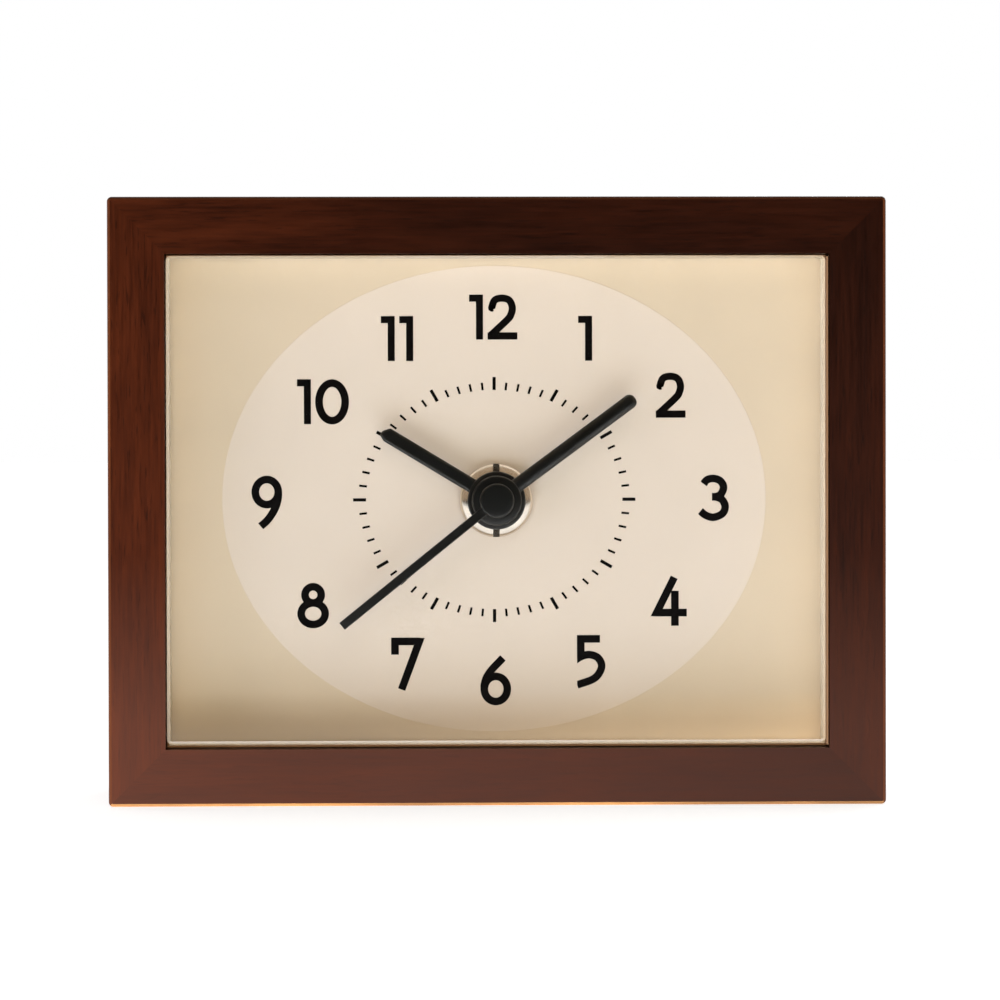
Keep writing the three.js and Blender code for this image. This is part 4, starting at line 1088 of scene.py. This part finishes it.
class CLOCK_OT_hands(bpy.types.Operator):
    """Builds the three hands"""

    bl_idname = "clock.hands"
    bl_label = "Hands"

    def execute(self, context):
        settings = context.scene.clock_hands
        for name, row in HAND_ROWS.items():
            node = f"{name}_hand"
            top, bottom = (corner.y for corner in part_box(node))
            second = name == "second"
            half = (settings.second_width if second else settings.width) / 2
            crown = settings.second_crown if second else settings.crown
            start = row["root"] * MM
            outline = [(-half, start), (half, start)] + [(x * MM, z * MM) for x, z in row["tip"]]
            corners = [(index, radius * MM, steps) for index, radius, steps in row["rounded"]]
            bm = arm(outline, corners, bottom, settings.thickness, crown)
            spin = Matrix.Rotation(math.radians(row["angle"]), 4, "Y")
            bmesh.ops.transform(bm, matrix=Matrix.Translation((0, 0, AXIS_Z)) @ spin, verts=bm.verts)
            bore, radius = row["bore"] * MM, row["hub"] * MM
            middle = hub(settings.turn_steps, bore, radius, bottom, top, settings.hub_edge, second)
            bm = carve(middle, bm, "UNION")
            new_piece(bm, f"{name}_pointer", "hand_black", [node], body=node)
        return {"FINISHED"}


# Movement, seen from behind


def knob_axis():
    """Place of the setting knob's axis across and up."""
    low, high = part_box("setting_knob")
    return (low.x + high.x) / 2, AXIS_Z


class CLOCK_OT_movement(bpy.types.Operator):
    """Builds the case of the movement, its cover, the contacts and the battery"""

    bl_idname = "clock.movement"
    bl_label = "Movement Case and Battery"

    def execute(self, context):
        bm = copied_node("movement_case")
        rear = edges_at(sharp_edges(bm, 60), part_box("movement_case")[1].y)
        round_edges(bm, rear, 0.25 * MM, 2)
        new_piece(bm, "case_tray", "case_plastic", ["movement_case"])
        self.cover()
        self.battery()
        for side in ("positive", "negative"):
            bm = copied_node(f"contact_{side}")
            round_edges(bm, sharp_edges(bm, 40), 0.06 * MM, 2)
            new_piece(bm, f"{side}_spring", "spring_nickel", [f"contact_{side}"])
        return {"FINISHED"}

    def cover(self):
        low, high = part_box("movement_cover")
        bm = plate(low, high, corner=2.0 * MM, corner_steps=6, arris=0.2 * MM, arris_steps=2)
        bm = drilled(bm, 1.3 * MM, knob_axis(), low.y, high.y, 32)
        new_piece(bm, "case_cover", "case_plastic", ["movement_cover"])
        section = [(7.4, -0.1), (7.4, 0.2), (7.5, 0.25), (7.9, 0.25), (8.0, 0.2), (8.0, -0.1), (7.4, -0.1)]
        ring = turned(steps_from(0, high.y, section), knob_axis(), 96)
        new_piece(ring, "knob_ring", "case_plastic")

    def battery(self):
        low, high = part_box("battery")
        middle = (low + high) / 2
        radius = (high.z - low.z) / 2
        base, tip = low.x, high.x
        nub, shoulder = 2.75 * MM, tip - 1.0 * MM
        profile = [
            *steps_from(0, base, [(0, 0.35), (4.2, 0.35), (4.5, 0)]),
            *steps_from(radius, base, [(-0.9, 0), (-0.35, 0.25), (-0.12, 0.8), (0, 1)]),
            *steps_from(radius, shoulder, [(0, -1), (-0.12, -0.75), (-0.5, -0.15), (-1.2, 0)]),
            *steps_from(nub, shoulder, [(1.2, 0), (0.9, -0.3), (0.1, -0.3), (0, -0.2)]),
            *steps_from(nub, tip, [(0, -0.25), (-0.25, 0)]),
            (0, tip),
        ]
        bm = bmesh.new()
        points = [(x, middle.y, middle.z + out) for out, x in profile]
        spun(bm, points, (0, middle.y, middle.z), (1, 0, 0), 64)
        new_piece(bm, "aa_cell", "battery_sleeve", ["battery"], body="battery")


class CLOCK_OT_knob(bpy.types.Operator):
    """Builds the fluted setting knob with its stem and pinion"""

    bl_idname = "clock.knob"
    bl_label = "Setting Knob"

    def execute(self, context):
        low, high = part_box("setting_knob")
        x, z = knob_axis()
        radius = (high.x - low.x) / 2
        front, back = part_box("movement_case")[1].y + 0.4 * MM, high.y
        edge = steps_from(radius, front, [(-0.6, 0), (0, 0.5)])
        crown = steps_from(radius, back, [(0, -0.9), (-0.3, -0.3), (-0.9, 0), (-1.9, 0), (-2.4, -0.5)])
        bm = turned([(0, front), *edge, *crown, (0, back - 0.7 * MM)], (x, z), 96)
        flutes, groove, ring = 24, 0.42 * MM, radius + 0.08 * MM
        cutter = [(0, front + 0.9 * MM), (groove, front + 1.3 * MM), (groove, back + MM), (0, back + MM)]
        tool = bmesh.new()
        for flute in range(flutes):
            angle = math.tau * flute / flutes
            turned(cutter, (x + ring * math.cos(angle), z + ring * math.sin(angle)), 12, tool)
        stem = copied_node("setting_knob")
        slice_off(stem, (0, front + 0.5 * MM, 0), (0, 1, 0))
        bm = carve(carve(bm, tool), stem, "UNION")
        new_piece(bm, "time_knob", "knob_plastic", ["setting_knob"], body="setting_knob")
        return {"FINISHED"}


class CLOCK_OT_back(bpy.types.Operator):
    """Builds the back panel and its four screws"""

    bl_idname = "clock.back"
    bl_label = "Back Panel and Screws"

    def execute(self, context):
        bm = copied_node("back_panel")
        rear = edges_at(sharp_edges(bm, 60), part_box("back_panel")[1].y)
        round_edges(bm, rear, 0.2 * MM, 2)
        new_piece(bm, "rear_board", "hardboard", ["back_panel"])
        for corner in ("upper_left", "upper_right", "lower_left", "lower_right"):
            self.screw(corner)
        return {"FINISHED"}

    def screw(self, corner):
        node = f"panel_screw_{corner}"
        low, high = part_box(node)
        x, z = (low.x + high.x) / 2, (low.z + high.z) / 2
        radius = (high.x - low.x) / 2
        head = high.y - 1.4 * MM
        crest, turns = 1.3 * MM, 9
        root = 0.78 * crest
        pitch = (head - 1.5 * MM - low.y) / turns
        thread = []
        for turn in range(turns):
            start = low.y + 1.2 * MM + turn * pitch
            thread += [(root, start), (crest, start + pitch / 2)]
        flange = steps_from(radius, head, [(-0.1, 0), (0, 0.1), (0, 0.45), (-0.22, 0.95)])
        dome = steps_from(radius, high.y, [(-0.75, -0.12), (-1.3, 0)])
        bm = turned([(0, low.y), *thread, (root, head), *flange, *dome, (0, high.y)], (x, z), 48)
        slot_depth = 0.8 * MM
        for across, up in ((0.35 * MM, 1.5 * MM), (1.5 * MM, 0.35 * MM)):
            slot = bmesh.new()
            block(slot, (x - across, high.y - slot_depth, z - up), (x + across, high.y + MM, z + up))
            bm = carve(bm, slot)
        new_piece(bm, f"screw_{corner}", "screw_steel", [node])


# Construction nodes that keep their shape, by finish

INNER_FINISHES = {
    "gasket_rubber": ["dial_gasket"],
    "nylon_white": [
        "train_plate", "gear_bridge", "fifth_wheel", "second_wheel", "third_wheel", "reverse_wheel",
        "hour_wheel",
    ],
    "turned_brass": ["centre_wheel", "cannon_pinion"],
    "ferrite": ["rotor"],
    "sheet_steel": ["stator", "coil_core", "quartz_crystal"],
    "wound_copper": ["coil"],
    "solder_mask": ["circuit_board"],
    "epoxy_black": ["control_chip"],
}


class CLOCK_OT_train(bpy.types.Operator):
    """Gives the parts inside the movement their finishes"""

    bl_idname = "clock.train"
    bl_label = "Gear Train Finishes"

    def execute(self, context):
        for finish, nodes in INNER_FINISHES.items():
            for node in nodes:
                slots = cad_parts[node].data.materials
                slots.clear()
                slots.append(material_named(finish))
        return {"FINISHED"}


# Stage


def lamp(name, place, size, power, tint=(1, 1, 1), aim=(0, 0, AXIS_Z), mirrored=False):
    """An oblong lamp that aims at a place and is mirrored by metal and glass only if it says so."""
    light = bpy.data.lights.new(name, "AREA")
    light.shape = "RECTANGLE"
    light.size, light.size_y = size
    light.energy = power
    light.color = tint
    light.cycles.use_multiple_importance_sampling = False
    holder = bpy.data.objects.new(name, light)
    holder.location = place
    holder.rotation_euler = (Vector(aim) - Vector(place)).to_track_quat("-Z", "Y").to_euler()
    holder.visible_camera = False
    holder.visible_glossy = mirrored
    holder.visible_transmission = False
    bpy.context.scene.collection.objects.link(holder)


class CLOCK_OT_stage(bpy.types.Operator):
    """Sets the pale floor, the lamps, the world and the camera"""

    bl_idname = "clock.stage"
    bl_label = "Stage"

    def execute(self, context):
        scene = context.scene
        scene.view_settings.view_transform = "Standard"
        self.floor()
        self.world(scene)
        lamp("front_lamp", (0, -1, 0.06), (0.5, 0.3), 3.1, (1, 0.85, 0.55))
        lamp("upper_lamp", (0.05, -0.8, 0.6), (0.5, 0.3), 1.08, (1, 0.95, 0.92))
        lamp("table_lamp", (-0.04, -0.46, -0.34), (0.7, 0.45), 3.1, (0.83, 0.92, 1))
        lamp("steep_lamp", (0, -0.16, -0.25), (0.5, 0.2), 0.4, (0.65, 0.75, 1))
        lamp("left_lamp", (-0.35, -0.2, 0), (0.2, 0.2), 0.55, (0.85, 0.87, 1))
        lamp("near_lamp", (0.06, -0.1, 0.045), (0.09, 0.09), 0.007, aim=(0.06, 0, 0.045))
        lamp("rear_lamp", (0.35, 0.9, 0.45), (0.5, 0.5), 2.0, mirrored=True)
        self.camera(scene)
        return {"FINISHED"}

    def floor(self):
        """A floor that looks white to the camera, and a strip of light in front of the clock for mirrors."""
        bm = bmesh.new()
        bmesh.ops.create_grid(bm, x_segments=1, y_segments=1, size=6)
        mesh = bpy.data.meshes.new("stage_floor")
        bm.to_mesh(mesh)
        bm.free()
        floor = bpy.data.objects.new("stage_floor", mesh)
        floor.visible_shadow = False
        bpy.context.scene.collection.objects.link(floor)
        pale = Surface("pale_floor", Base_Color=(0.86, 0.86, 0.86, 1), Roughness=0.9)
        path = pale.add("LightPath").outputs
        bent = pale.calc("MAXIMUM", path["Is Glossy Ray"], path["Is Transmission Ray"])
        bent = pale.calc("MULTIPLY", bent, pale.calc("LESS_THAN", path["Diffuse Depth"], 0.5))
        seen = pale.calc("MAXIMUM", path["Is Camera Ray"], bent)
        pale.paint("Emission Color", (1, 1, 1, 1))
        pale.paint("Emission Strength", pale.calc("MULTIPLY", seen, 0.75))
        depth = pale.axes(pale.where)["Y"]
        strip = pale.add("Emission", {"Strength": pale.remap(depth, -0.30, -0.14, 0.02, 1.3)})
        pale.overlay(pale.calc("MULTIPLY", bent, pale.calc("LESS_THAN", depth, FRONT)), strip)
        mesh.materials.append(pale.material)

    def world(self, scene):
        """A white background for the camera, a dim room as light, and a brighter one in mirrors."""
        world = bpy.data.worlds.new("studio")
        scene.world = world
        world.use_nodes = True
        world.cycles.sampling_method = "NONE"
        sky = Nodes(world.node_tree)
        path = sky.add("LightPath").outputs
        depth = sky.axes(sky.add("TexCoord").outputs["Generated"])["Y"]
        rear = sky.remap(depth, 0, 0.3, 0.01, 0.7)
        beside = sky.remap(depth, -0.92, -0.75, 0, 0.34)
        behind = sky.remap(depth, -0.3, 0.2)
        mirrored = sky.calc("LESS_THAN", path["Diffuse Depth"], 0.5)
        shown = sky.calc("MULTIPLY", mirrored, sky.calc("MAXIMUM", beside, behind))
        room = sky.calc("MAXIMUM", rear, shown)
        seen = path["Is Camera Ray"]
        warm = sky.mix(sky.remap(depth, -0.3, 0.3), (1, 0.72, 0.46), (1, 1, 1))
        sources = {"Color": sky.mix(seen, warm, (1, 1, 1)), "Strength": sky.calc("MAXIMUM", seen, room)}
        background = sky.add("Background", sources)
        sky.add("OutputWorld", {"Surface": background.outputs[0]})

    def camera(self, scene):
        settings = scene.clock_stage
        data = bpy.data.cameras.new("camera")
        data.lens = settings.focal_length
        camera = bpy.data.objects.new("camera", data)
        aim = Vector((settings.aim_right, FRONT, AXIS_Z + settings.aim_up))
        turn, rise = settings.azimuth, settings.elevation
        away = Vector((math.sin(turn) * math.cos(rise), -math.cos(turn) * math.cos(rise), math.sin(rise)))
        camera.location = aim + away * settings.distance
        level = (-away).to_track_quat("-Z", "Y")
        camera.rotation_euler = (level @ Quaternion((0, 0, 1), settings.roll)).to_euler()
        scene.collection.objects.link(camera)
        scene.camera = camera


class VIEW3D_PT_desk_clock(bpy.types.Panel):
    """Lists the sizes and colours and the steps that build the clock"""

    bl_label = "Desk Clock"
    bl_idname = "VIEW3D_PT_desk_clock"
    bl_space_type = "VIEW_3D"
    bl_region_type = "UI"
    bl_category = "Desk Clock"

    def draw(self, context):
        for group in SETTINGS:
            settings = getattr(context.scene, group)
            box = self.layout.box()
            for name in settings.__annotations__:
                box.prop(settings, name)
        for operator in OPERATORS:
            self.layout.operator(operator.bl_idname)


SETTINGS = {
    "clock_rails": ClockRailSettings,
    "clock_dial": ClockDialSettings,
    "clock_hands": ClockHandSettings,
    "clock_finish": ClockFinishSettings,
    "clock_stage": ClockStageSettings,
}

OPERATORS = [
    CLOCK_OT_stage,
    CLOCK_OT_rails,
    CLOCK_OT_glass,
    CLOCK_OT_spacers,
    CLOCK_OT_dial,
    CLOCK_OT_numerals,
    CLOCK_OT_minute_track,
    CLOCK_OT_nut,
    CLOCK_OT_hands,
    CLOCK_OT_movement,
    CLOCK_OT_knob,
    CLOCK_OT_back,
    CLOCK_OT_train,
]


def register():
    for name, group in SETTINGS.items():
        bpy.utils.register_class(group)
        setattr(bpy.types.Scene, name, PointerProperty(type=group))
    for operator in OPERATORS:
        bpy.utils.register_class(operator)
    bpy.utils.register_class(VIEW3D_PT_desk_clock)


def unregister():
    bpy.utils.unregister_class(VIEW3D_PT_desk_clock)
    for operator in reversed(OPERATORS):
        bpy.utils.unregister_class(operator)
    for name, group in SETTINGS.items():
        delattr(bpy.types.Scene, name)
        bpy.utils.unregister_class(group)


def main():
    register()
    for operator in OPERATORS:
        group, name = operator.bl_idname.split(".")
        getattr(getattr(bpy.ops, group), name)()


if __name__ == "__main__":
    main()
